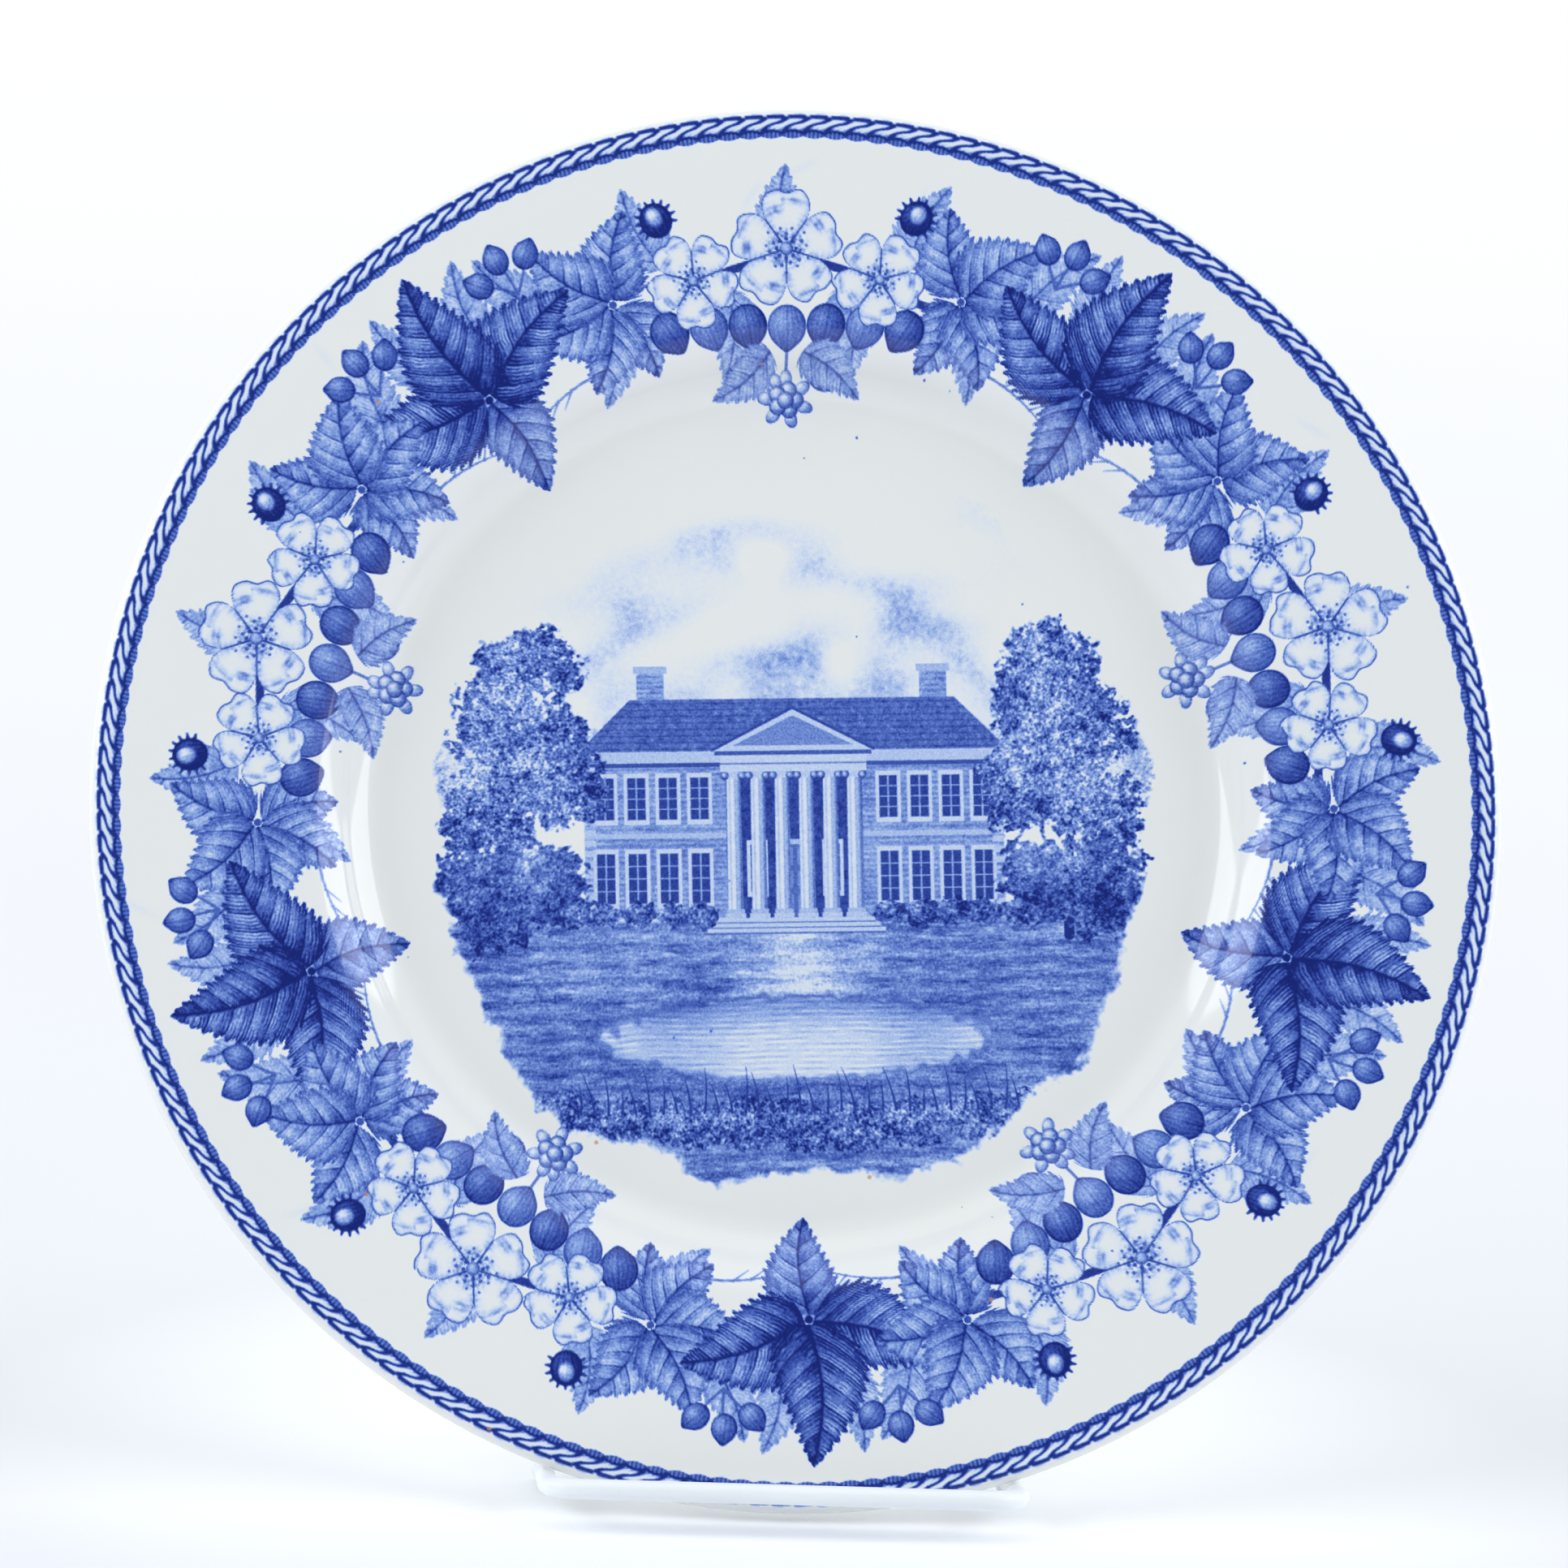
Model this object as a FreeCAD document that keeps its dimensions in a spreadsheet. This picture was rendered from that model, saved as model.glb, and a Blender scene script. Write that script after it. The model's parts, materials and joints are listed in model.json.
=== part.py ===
import FreeCAD, Part
import math
import os

import Sketcher

# Souvenir plate on a folding wire display stand.
#
# Row frame: +X to the viewer's right, the plate's face looks towards -Y, +Z up,
# the table at Z = 0 and the origin under the middle of the object's box.
#
# Three frames are used while modelling:
#   plate frame  origin at the middle of the foot ring's resting plane, Z out of the
#                plate's face, Y up the plate. The back loop and the hinge rod share it.
#   cradle frame origin on the lip bar's axis at its middle, Y running back along the rails.
#   leg frame    origin on the hinge axis, Y up the leg, Z towards the plate.

DRIVING_DIMENSIONS = [
    # the plate: a glazed earthenware dinner-size souvenir plate
    ("plate_radius", 133.5),
    ("plate_wall", 4.0),
    ("well_radius", 77.0),
    ("well_floor", 7.0),
    ("cavetto_inner_bend", 10.9),
    ("cavetto_outer_bend", 13.8),
    ("cavetto_slope", 50.0),
    ("marly_slope", 10.0),
    ("foot_ring_outer", 80.3),
    ("foot_ring_inner", 75.5),
    ("foot_ring_edge", 0.9),
    ("base_recess", 2.6),
    # how the plate stands
    ("lean_angle", 18.0),
    ("plate_centre_depth", 18.1),
    ("plate_centre_height", 122.2),
    # wire: a steel core in a dipped vinyl skin
    ("core_radius", 1.5),
    ("skin_radius", 1.9),
    ("stand_half_width", 44.0),
    ("weld_sink", 0.25),
    # cradle: the lip bar in front of the rim and the two rails under it
    ("lip_bar_height", 7.76),
    ("lip_bar_depth", -51.87),
    ("rail_rise", 7.5),
    ("cradle_bend", 6.0),
    # back loop: two uprights and the bar across their tops
    ("back_loop_gap", 0.3),
    ("back_loop_top", 28.0),
    ("back_loop_bend", 18.0),
    # hinge rod behind the uprights, and what turns on it
    ("hinge_level", -16.6),
    ("hinge_rod_radius", 1.5),
    ("hinge_rod_half_length", 53.6),
    ("pivot_clearance", 0.06),
    ("sleeve_radius", 3.0),
    ("sleeve_length", 4.0),
    ("leg_half_width", 48.4),
    ("cap_radius", 3.1),
    ("cap_length", 3.0),
    ("cap_dome", 0.8),
    # rear leg: side wires, foot bar, and fingers that meet the uprights when it is open
    ("leg_angle", 16.0),
    ("leg_bend", 7.0),
    ("finger_bend", 4.0),
    ("finger_end", 39.0),
    ("stop_gap", 0.2),
]

doc = FreeCAD.newDocument("souvenir_plate")


# ---------------------------------------------------------------- sizes and formulas

class Size:
    """A number together with the spreadsheet formula that it comes from."""

    def __init__(self, number, formula):
        self.number = number
        self.formula = formula

    def __add__(self, other):
        other = as_size(other)
        return Size(self.number + other.number, f"({self.formula} + {other.formula})")

    def __sub__(self, other):
        other = as_size(other)
        return Size(self.number - other.number, f"({self.formula} - {other.formula})")

    def __mul__(self, other):
        other = as_size(other)
        return Size(self.number * other.number, f"({self.formula} * {other.formula})")

    def __truediv__(self, other):
        other = as_size(other)
        return Size(self.number / other.number, f"({self.formula} / {other.formula})")

    def __neg__(self):
        return Size(-self.number, f"(0 - {self.formula})")


def as_size(value):
    if isinstance(value, Size):
        return value
    number = round(float(value), 6)
    return Size(number, repr(number))


def sine(angle):
    return Size(math.sin(math.radians(angle.number)), f"sin({angle.formula} * 1 deg)")


def cosine(angle):
    return Size(math.cos(math.radians(angle.number)), f"cos({angle.formula} * 1 deg)")


def make_sheet():
    """Write the driving dimensions into a spreadsheet and return them by name."""
    sheet = doc.addObject("Spreadsheet::Sheet", "Dims")
    sizes = {}
    for row, (name, number) in enumerate(DRIVING_DIMENSIONS, start=1):
        sheet.set(f"A{row}", name)
        sheet.set(f"B{row}", f"{number:g}")
        sheet.setAlias(f"B{row}", name)
        sizes[name] = Size(number, f"Dims.{name}")
    doc.recompute()
    return sizes


dim = make_sheet()


# ---------------------------------------------------------------- sketch helpers

LINE = "line"
ARC_LEFT = "arc that turns left"
ARC_RIGHT = "arc that turns right"
ORIGIN_POINT = (-1, 1)
HORIZONTAL_AXIS = -1
VERTICAL_AXIS = -2


def bind(sketch, constraint, size):
    """Add a constraint and bind its value to a formula."""
    index = sketch.addConstraint(constraint)
    name = f"size_{index}"
    sketch.renameConstraint(index, name)
    sketch.setExpression(f"Constraints.{name}", size.formula)


def pin_coordinate(sketch, kind, point, size, axis):
    """Hold one coordinate of a sketch point at a signed size."""
    if abs(size.number) < 1e-9:
        sketch.addConstraint(Sketcher.Constraint("PointOnObject", point[0], point[1], axis))
    elif size.number > 0:
        bind(sketch, Sketcher.Constraint(kind, *ORIGIN_POINT, *point, size.number), size)
    else:
        bind(sketch, Sketcher.Constraint(kind, *point, *ORIGIN_POINT, -size.number), -size)


def pin_point(sketch, point, place):
    pin_coordinate(sketch, "DistanceX", point, place[0], VERTICAL_AXIS)
    pin_coordinate(sketch, "DistanceY", point, place[1], HORIZONTAL_AXIS)


def arc_geometry(start, end, radius, turns_left):
    """The arc of a given radius between two points; True when its own ends run start to end."""
    chord = end - start
    half = chord.Length / 2
    rise = math.sqrt(max(radius ** 2 - half ** 2, 0))
    across = FreeCAD.Vector(-chord.y, chord.x, 0).normalize()
    centre = (start + end) / 2 + across * (rise if turns_left else -rise)
    first, last = (start, end) if turns_left else (end, start)
    begin = math.atan2(first.y - centre.y, first.x - centre.x)
    finish = math.atan2(last.y - centre.y, last.x - centre.x)
    circle = Part.Circle(centre, FreeCAD.Vector(0, 0, 1), radius)
    return Part.ArcOfCircle(circle, begin, finish)


def draw_outline(sketch, corners, pieces, closed):
    """Draw lines and arcs from corner to corner, fully held by the spreadsheet.

    pieces[i] runs from corners[i] to the next corner: (LINE,) or (ARC_LEFT, radius).
    """
    points = [FreeCAD.Vector(x.number, y.number, 0) for x, y in corners]
    ends = []
    for index, piece in enumerate(pieces):
        start = points[index]
        end = points[(index + 1) % len(points)]
        if piece[0] == LINE:
            geometry = sketch.addGeometry(Part.LineSegment(start, end))
            ends.append(((geometry, 1), (geometry, 2)))
        else:
            turns_left = piece[0] == ARC_LEFT
            arc = arc_geometry(start, end, piece[1].number, turns_left)
            geometry = sketch.addGeometry(arc)
            bind(sketch, Sketcher.Constraint("Radius", geometry, piece[1].number), piece[1])
            own = ((geometry, 1), (geometry, 2))
            ends.append(own if turns_left else own[::-1])
    for index in range(len(pieces)):
        pin_point(sketch, ends[index][0], corners[index])
        following = (index + 1) % len(pieces)
        if closed or following:
            joined = Sketcher.Constraint("Coincident", *ends[index][1], *ends[following][0])
            sketch.addConstraint(joined)
    if not closed:
        pin_point(sketch, ends[-1][1], corners[-1])


def body_sketch(body, name, plane_role):
    """A sketch on one of a body's own origin planes."""
    sketch = body.newObject("Sketcher::SketchObject", name)
    planes = [item for item in body.Origin.OriginFeatures if item.Role == plane_role]
    sketch.AttachmentSupport = [(planes[0], "")]
    sketch.MapMode = "FlatFace"
    return sketch


def revolved_body(label, corners, pieces):
    """A body turned about its Z axis from an outline of (radius, height) corners."""
    body = doc.addObject("PartDesign::Body", label)
    sketch = body_sketch(body, f"{label}_outline", "XZ_Plane")
    draw_outline(sketch, corners, pieces, closed=True)
    turned = body.newObject("PartDesign::Revolution", f"{label}_turned")
    turned.Profile = sketch
    turned.ReferenceAxis = (sketch, ["V_Axis"])
    turned.Angle = 360
    return body


def bent_wire(name, corners, bends, radius):
    """A round wire along square corners, each rounded with its own bend radius."""
    path = doc.addObject("Sketcher::SketchObject", f"{name}_path")
    places = [corners[0]]
    pieces = []
    for index in range(1, len(corners) - 1):
        bend = bends[index - 1]
        before, corner, after = corners[index - 1:index + 2]
        entry = step_towards(corner, before, bend)
        leave = step_towards(corner, after, bend)
        places.extend([entry, leave])
        pieces.extend([(LINE,), (turning(before, corner, after), bend)])
    places.append(corners[-1])
    pieces.append((LINE,))
    draw_outline(path, places, pieces, closed=False)

    section = doc.addObject("Part::Circle", f"{name}_section")
    section.setExpression("Radius", radius.formula)
    start, follow = places[0], places[1]
    along = FreeCAD.Vector(follow[0].number - start[0].number, follow[1].number - start[1].number, 0)
    facing = FreeCAD.Rotation(FreeCAD.Vector(0, 0, 1), along)
    here = FreeCAD.Vector(start[0].number, start[1].number, 0)
    section.Placement = FreeCAD.Placement(here, facing)

    doc.recompute()
    wire = doc.addObject("Part::Sweep", name)
    wire.Sections = [section]
    wire.Spine = (path, [f"Edge{index + 1}" for index in range(len(pieces))])
    wire.Solid = True
    wire.Frenet = False
    return wire


def step_towards(corner, other, bend):
    """The place a bend's radius away from a corner, towards a neighbour level or plumb with it."""
    x, y = corner
    across = other[0].number - x.number
    along = other[1].number - y.number
    if abs(across) > abs(along):
        return (x + bend, y) if across > 0 else (x - bend, y)
    return (x, y + bend) if along > 0 else (x, y - bend)


def turning(before, corner, after):
    first = (corner[0].number - before[0].number, corner[1].number - before[1].number)
    second = (after[0].number - corner[0].number, after[1].number - corner[1].number)
    turns_left = first[0] * second[1] - first[1] * second[0] > 0
    return ARC_LEFT if turns_left else ARC_RIGHT


def cylinder_along_x(name, radius, start, length, level, height):
    """A round bar parallel to X, from start, at (level, height) in its frame's Y and Z."""
    bar = doc.addObject("Part::Cylinder", name)
    bar.setExpression("Radius", radius.formula)
    bar.setExpression("Height", length.formula)
    turn = FreeCAD.Rotation(FreeCAD.Vector(0, 1, 0), 90)
    place = FreeCAD.Vector(start.number, level.number, height.number)
    bar.Placement = FreeCAD.Placement(place, turn)
    return bar


def fuse(name, shapes):
    fused = doc.addObject("Part::MultiFuse", name)
    fused.Shapes = shapes
    return fused


def cut(name, base, tool):
    remainder = doc.addObject("Part::Cut", name)
    remainder.Base = base
    remainder.Tool = tool
    return remainder


# ---------------------------------------------------------------- frames

def about_x(angle):
    return FreeCAD.Rotation(FreeCAD.Vector(1, 0, 0), angle)


PLATE_FRAME = FreeCAD.Placement(
    FreeCAD.Vector(0, dim["plate_centre_depth"].number, dim["plate_centre_height"].number),
    about_x(90 - dim["lean_angle"].number),
)
CRADLE_FRAME = FreeCAD.Placement(
    FreeCAD.Vector(0, dim["lip_bar_depth"].number, dim["lip_bar_height"].number),
    about_x(-dim["rail_rise"].number),
)
# The back loop's wires lie just behind the foot ring; the rod is welded behind them.
loop_plane = -(dim["skin_radius"] + dim["back_loop_gap"])
hinge_plane = loop_plane - dim["core_radius"] - dim["hinge_rod_radius"] + dim["weld_sink"]
HINGE_POINT = PLATE_FRAME.multVec(
    FreeCAD.Vector(0, dim["hinge_level"].number, hinge_plane.number)
)
LEG_FRAME = FreeCAD.Placement(HINGE_POINT, about_x(90 + dim["leg_angle"].number))


# ---------------------------------------------------------------- plate

def make_plate():
    """Foot ring, flat well, cavetto, sloping marly and rounded lip, one wall thick."""
    wall = dim["plate_wall"]
    slope, rim_slope = dim["cavetto_slope"], dim["marly_slope"]
    inner_bend, outer_bend = dim["cavetto_inner_bend"], dim["cavetto_outer_bend"]
    lip = wall / 2

    # centres of the cavetto's two bends, front and back surfaces concentric
    inner_centre = (dim["well_radius"], dim["well_floor"] + inner_bend)
    change = (
        inner_centre[0] + inner_bend * sine(slope),
        inner_centre[1] - inner_bend * cosine(slope),
    )
    outer_centre = (
        change[0] + outer_bend * sine(slope),
        change[1] - outer_bend * cosine(slope),
    )
    marly_start = (
        outer_centre[0] - outer_bend * sine(rim_slope),
        outer_centre[1] + outer_bend * cosine(rim_slope),
    )
    lip_radius = dim["plate_radius"] - lip
    marly_end_radius = lip_radius - lip * sine(rim_slope)
    rise = (marly_end_radius - marly_start[0]) * sine(rim_slope) / cosine(rim_slope)
    marly_end = (marly_end_radius, marly_start[1] + rise)
    lip_height = marly_end[1] - lip * cosine(rim_slope)
    under_end = (lip_radius + lip * sine(rim_slope), lip_height - lip * cosine(rim_slope))

    back_outer_bend = outer_bend - wall
    back_inner_bend = inner_bend + wall
    under_start = (
        outer_centre[0] - back_outer_bend * sine(rim_slope),
        outer_centre[1] + back_outer_bend * cosine(rim_slope),
    )
    back_change = (
        inner_centre[0] + back_inner_bend * sine(slope),
        inner_centre[1] - back_inner_bend * cosine(slope),
    )
    reach = dim["foot_ring_outer"] - dim["well_radius"]
    drop = Size(
        math.sqrt(back_inner_bend.number ** 2 - reach.number ** 2),
        f"sqrt({back_inner_bend.formula} ^ 2 - {reach.formula} ^ 2)",
    )
    ring_root = (dim["foot_ring_outer"], inner_centre[1] - drop)
    edge = dim["foot_ring_edge"]
    zero = as_size(0)

    outline = [
        ((zero, dim["base_recess"]), (LINE,)),
        ((dim["foot_ring_inner"], dim["base_recess"]), (LINE,)),
        ((dim["foot_ring_inner"], edge), (ARC_LEFT, edge)),
        ((dim["foot_ring_inner"] + edge, zero), (LINE,)),
        ((dim["foot_ring_outer"] - edge, zero), (ARC_LEFT, edge)),
        ((dim["foot_ring_outer"], edge), (LINE,)),
        (ring_root, (ARC_LEFT, back_inner_bend)),
        (back_change, (ARC_RIGHT, back_outer_bend)),
        (under_start, (LINE,)),
        (under_end, (ARC_LEFT, lip)),
        ((dim["plate_radius"], lip_height), (ARC_LEFT, lip)),
        (marly_end, (LINE,)),
        (marly_start, (ARC_LEFT, outer_bend)),
        (change, (ARC_RIGHT, inner_bend)),
        ((dim["well_radius"], dim["well_floor"]), (LINE,)),
        ((zero, dim["well_floor"]), (LINE,)),
    ]
    plate = revolved_body("plate", [item[0] for item in outline], [item[1] for item in outline])
    plate.Placement = PLATE_FRAME
    return plate


# ---------------------------------------------------------------- front frame

def cradle_path(rail_length):
    """Corners of the cradle's wire: rail, lip bar, rail."""
    side = dim["stand_half_width"]
    zero = as_size(0)
    return [(-side, rail_length), (-side, zero), (side, zero), (side, rail_length)]


def back_loop_path():
    """Corners of the back loop's wire: upright, top bar, upright, in the plate frame."""
    side = dim["stand_half_width"]
    lean = dim["lean_angle"]
    fall = dim["skin_radius"] - dim["plate_centre_height"] - loop_plane * sine(lean)
    foot = fall / cosine(lean)
    top = dim["back_loop_top"]
    return [(-side, foot), (-side, top), (side, top), (side, foot)]


def rail_reach():
    """Length of a rail, from the lip bar's axis to its weld inside the upright's outline."""
    upright = PLATE_FRAME.multVec(FreeCAD.Vector(0, 0, loop_plane.number))
    lean = math.radians(dim["lean_angle"].number)
    rise = math.radians(dim["rail_rise"].number)
    level = upright.y + (dim["lip_bar_height"].number - upright.z) * math.tan(lean)
    meeting = (level - dim["lip_bar_depth"].number) / (math.cos(rise) + math.sin(rise) * math.tan(lean))
    fused = dim["core_radius"].number - dim["weld_sink"].number
    return as_size(meeting - fused)


def make_front_frame():
    """Steel wires of the front frame and the vinyl skin that covers them."""
    loop_height = FreeCAD.Vector(0, 0, loop_plane.number)
    loop_frame = PLATE_FRAME.multiply(FreeCAD.Placement(loop_height, FreeCAD.Rotation()))
    loop_bends = [dim["back_loop_bend"]] * 2
    cradle_bends = [dim["cradle_bend"]] * 2
    rail = rail_reach()

    back_loop_wire = bent_wire("back_loop_wire", back_loop_path(), loop_bends, dim["core_radius"])
    back_loop_wire.Placement = loop_frame
    loop_skin = bent_wire("loop_skin", back_loop_path(), loop_bends, dim["skin_radius"])
    loop_skin.Placement = loop_frame

    cradle_core = bent_wire("cradle_core", cradle_path(rail), cradle_bends, dim["core_radius"])
    cradle_core.Placement = CRADLE_FRAME
    cradle_wire = cut("cradle_wire", cradle_core, back_loop_wire)
    cradle_skin = bent_wire("cradle_skin", cradle_path(rail), cradle_bends, dim["skin_radius"])
    cradle_skin.Placement = CRADLE_FRAME

    half = dim["hinge_rod_half_length"]
    straight_rod = cylinder_along_x(
        "straight_rod", dim["hinge_rod_radius"], -half, half * 2, dim["hinge_level"], hinge_plane
    )
    straight_rod.Placement = PLATE_FRAME.multiply(straight_rod.Placement)
    hinge_rod = cut("hinge_rod", straight_rod, back_loop_wire)
    covered = dim["stand_half_width"] + dim["skin_radius"]
    rod_skin = cylinder_along_x(
        "rod_skin", dim["skin_radius"], -covered, covered * 2, dim["hinge_level"], hinge_plane
    )
    rod_skin.Placement = PLATE_FRAME.multiply(rod_skin.Placement)

    foot_ends = []
    for side, place in (("left", back_loop_path()[0]), ("right", back_loop_path()[-1])):
        foot_end = doc.addObject("Part::Sphere", f"{side}_foot_end")
        foot_end.setExpression("Radius", dim["skin_radius"].formula)
        foot_end.Placement = FreeCAD.Placement(
            loop_frame.multVec(FreeCAD.Vector(place[0].number, place[1].number, 0)),
            FreeCAD.Rotation(),
        )
        foot_ends.append(foot_end)

    outside = fuse("front_skin_outside", [loop_skin, cradle_skin, rod_skin] + foot_ends)
    inside = fuse("front_skin_inside", [back_loop_wire, cradle_wire, hinge_rod])
    front_frame_coating = cut("front_frame_coating", outside, inside)
    return [back_loop_wire, cradle_wire, hinge_rod, front_frame_coating]


def make_caps():
    """Push-on caps at the hinge rod's ends."""
    wall_start = dim["hinge_rod_half_length"] - dim["cap_length"] + dim["cap_dome"]
    zero = as_size(0)
    rod, outside = dim["hinge_rod_radius"], dim["cap_radius"]
    deep, length, dome = dim["cap_length"] - dim["cap_dome"], dim["cap_length"], dim["cap_dome"]
    corners = [
        (rod, zero),
        (outside, zero),
        (outside, length - dome),
        (outside - dome, length),
        (zero, length),
        (zero, deep),
        (rod, deep),
    ]
    pieces = [(LINE,), (LINE,), (ARC_LEFT, dome), (LINE,), (LINE,), (LINE,), (LINE,)]
    caps = []
    for side, sign in (("left", -1), ("right", 1)):
        cap = revolved_body(f"{side}_hinge_cap", corners, pieces)
        place = FreeCAD.Vector(sign * wall_start.number, dim["hinge_level"].number, hinge_plane.number)
        turn = FreeCAD.Rotation(FreeCAD.Vector(0, 1, 0), 90 * sign)
        cap.Placement = PLATE_FRAME.multiply(FreeCAD.Placement(place, turn))
        caps.append(cap)
    return caps


# ---------------------------------------------------------------- rear leg

def leg_offset():
    """How far the leg's side wires lie behind the hinge axis: against the sleeves."""
    return dim["sleeve_radius"] + dim["core_radius"]


def leg_path():
    """Corners of the leg's wire: finger, side wire, foot bar, side wire, finger."""
    side, finger = dim["leg_half_width"], dim["finger_end"]
    angle, opening = dim["leg_angle"], dim["leg_angle"] + dim["lean_angle"]
    hinge_height = dim["plate_centre_height"] + dim["hinge_level"] * cosine(dim["lean_angle"]) \
        + hinge_plane * sine(dim["lean_angle"])
    behind = leg_offset() * sine(angle)
    length = (hinge_height + behind - dim["skin_radius"]) / cosine(angle)
    # the fingers rise until their skin is a stop gap behind the uprights' skin
    clear = dim["skin_radius"] * 2 + dim["stop_gap"] + hinge_plane - loop_plane
    rise = (leg_offset() * cosine(opening) - clear) / sine(opening)
    return [
        (-finger, rise), (-side, rise), (-side, -length),
        (side, -length), (side, rise), (finger, rise),
    ]


def make_rear_leg():
    """The rear leg's wire with its skin, and the sleeves that turn on the hinge rod."""
    behind = FreeCAD.Vector(0, 0, -leg_offset().number)
    wire_frame = LEG_FRAME.multiply(FreeCAD.Placement(behind, FreeCAD.Rotation()))
    bends = [dim["finger_bend"], dim["leg_bend"], dim["leg_bend"], dim["finger_bend"]]
    rear_leg_wire = bent_wire("rear_leg_wire", leg_path(), bends, dim["core_radius"])
    rear_leg_wire.Placement = wire_frame
    leg_skin = bent_wire("leg_skin", leg_path(), bends, dim["skin_radius"])
    leg_skin.Placement = wire_frame

    bore = dim["hinge_rod_radius"] + dim["pivot_clearance"]
    sleeves = []
    for side, sign in (("left", -1), ("right", 1)):
        middle = dim["leg_half_width"] * sign
        start = middle - dim["sleeve_length"] / 2
        level = as_size(0)
        barrel = cylinder_along_x(
            f"{side}_sleeve_barrel", dim["sleeve_radius"], start, dim["sleeve_length"], level, level
        )
        hole = cylinder_along_x(
            f"{side}_sleeve_hole", bore, start, dim["sleeve_length"], level, level
        )
        sleeve = cut(f"{side}_pivot_sleeve", barrel, hole)
        sleeve.Placement = LEG_FRAME
        sleeves.append(sleeve)

    finger_ends = []
    for side, place in (("left", leg_path()[0]), ("right", leg_path()[-1])):
        finger_end = doc.addObject("Part::Sphere", f"{side}_finger_end")
        finger_end.setExpression("Radius", dim["skin_radius"].formula)
        finger_end.Placement = FreeCAD.Placement(
            wire_frame.multVec(FreeCAD.Vector(place[0].number, place[1].number, 0)),
            FreeCAD.Rotation(),
        )
        finger_ends.append(finger_end)
    outside = fuse("leg_skin_outside", [leg_skin] + finger_ends)
    bare = [
        cylinder_along_x(
            f"{side}_skin_gap", dim["sleeve_radius"],
            dim["leg_half_width"] * sign - dim["sleeve_length"], dim["sleeve_length"] * 2,
            as_size(0), as_size(0),
        )
        for side, sign in (("left", -1), ("right", 1))
    ]
    for gap in bare:
        gap.Placement = LEG_FRAME.multiply(gap.Placement)
    inside = fuse("leg_skin_inside", [rear_leg_wire] + bare)
    rear_leg_coating = cut("rear_leg_coating", outside, inside)
    return [rear_leg_wire, rear_leg_coating] + sleeves


# ---------------------------------------------------------------- build, check and write

def check(objects, parts):
    """Stop if an object failed, a bend went the wrong way round or a part is not valid."""
    broken = [item.Name for item in objects if "Invalid" in item.State or "Error" in item.State]
    if broken:
        raise RuntimeError(f"objects that failed to compute: {broken}")
    for wire in (item for item in objects if item.TypeId == "Part::Sweep"):
        path, section = wire.Spine[0], wire.Sections[0]
        expected = math.pi * section.Radius.Value ** 2 * path.Shape.Length
        if abs(wire.Shape.Volume / expected - 1) > 0.001:
            raise RuntimeError(f"{wire.Name} does not fill its path")
    for part in parts:
        if part.Shape.isNull() or not part.Shape.isValid():
            raise RuntimeError(f"{part.Label} has no valid shape")


def main():
    parts = [make_plate()] + make_front_frame() + make_caps() + make_rear_leg()
    doc.recompute()
    check(doc.Objects, parts)
    os.makedirs("parts", exist_ok=True)
    box = FreeCAD.BoundBox()
    for part in parts:
        box.add(part.Shape.BoundBox)
        part.Shape.exportStep(f"parts/{part.Label}.step")
        print(f"{part.Label}: {len(part.Shape.Solids)} solid, {part.Shape.Volume / 1000:.3f} cm3")
    print(f"box {box.XMin:.2f} {box.YMin:.2f} {box.ZMin:.2f} to "
          f"{box.XMax:.2f} {box.YMax:.2f} {box.ZMax:.2f}")
    print(f"hinge axis at Y {HINGE_POINT.y:.4f}, Z {HINGE_POINT.z:.4f}")


main()
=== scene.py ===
import json
import math

import bpy
import numpy as np
from mathutils import Matrix, Vector


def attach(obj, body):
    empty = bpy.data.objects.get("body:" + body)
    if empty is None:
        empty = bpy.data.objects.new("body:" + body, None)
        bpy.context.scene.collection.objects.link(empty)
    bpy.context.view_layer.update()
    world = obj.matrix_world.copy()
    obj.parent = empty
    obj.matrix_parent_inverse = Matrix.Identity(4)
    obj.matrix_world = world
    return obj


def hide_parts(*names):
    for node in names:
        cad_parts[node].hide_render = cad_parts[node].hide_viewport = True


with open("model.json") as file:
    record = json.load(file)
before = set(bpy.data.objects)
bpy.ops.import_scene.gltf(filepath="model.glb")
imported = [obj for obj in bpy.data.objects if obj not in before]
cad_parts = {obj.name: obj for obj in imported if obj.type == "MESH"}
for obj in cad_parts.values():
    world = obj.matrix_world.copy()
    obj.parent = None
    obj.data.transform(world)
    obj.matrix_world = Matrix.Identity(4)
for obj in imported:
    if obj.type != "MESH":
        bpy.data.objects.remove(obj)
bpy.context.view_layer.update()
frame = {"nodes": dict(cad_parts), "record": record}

MM = 0.001
TAU = 2 * math.pi
RANDOM = np.random.default_rng(1897)

# The plate's own frame comes from the mount on its flat well: its middle and its normal.
# Lengths on the plate are in millimetres, X across, Y up the plate, H out of its face.
WELL = next(mount for mount in frame["record"]["mounts"] if mount["name"] == "well_face")
OUT = Vector(WELL["axis"]).normalized()
ACROSS = Vector((1, 0, 0))
UP = OUT.cross(ACROSS).normalized()

# ------------------------------------------------------------------ sizes of the plate
PLATE_RADIUS = 133.5
WALL = 4.0
WELL_RADIUS, WELL_FLOOR = 77.0, 7.0
INNER_BEND, OUTER_BEND = 10.9, 13.8
CAVETTO_SLOPE, MARLY_SLOPE = math.radians(50), math.radians(10)
RING_OUTER, RING_INNER, RING_EDGE, BASE_RECESS = 80.3, 75.5, 0.9, 2.6
MESH_STEP, PICTURE_STEP = 0.255, 0.20
CENTRE = Vector(WELL["pos_m"]) - OUT * WELL_FLOOR * MM

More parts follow.
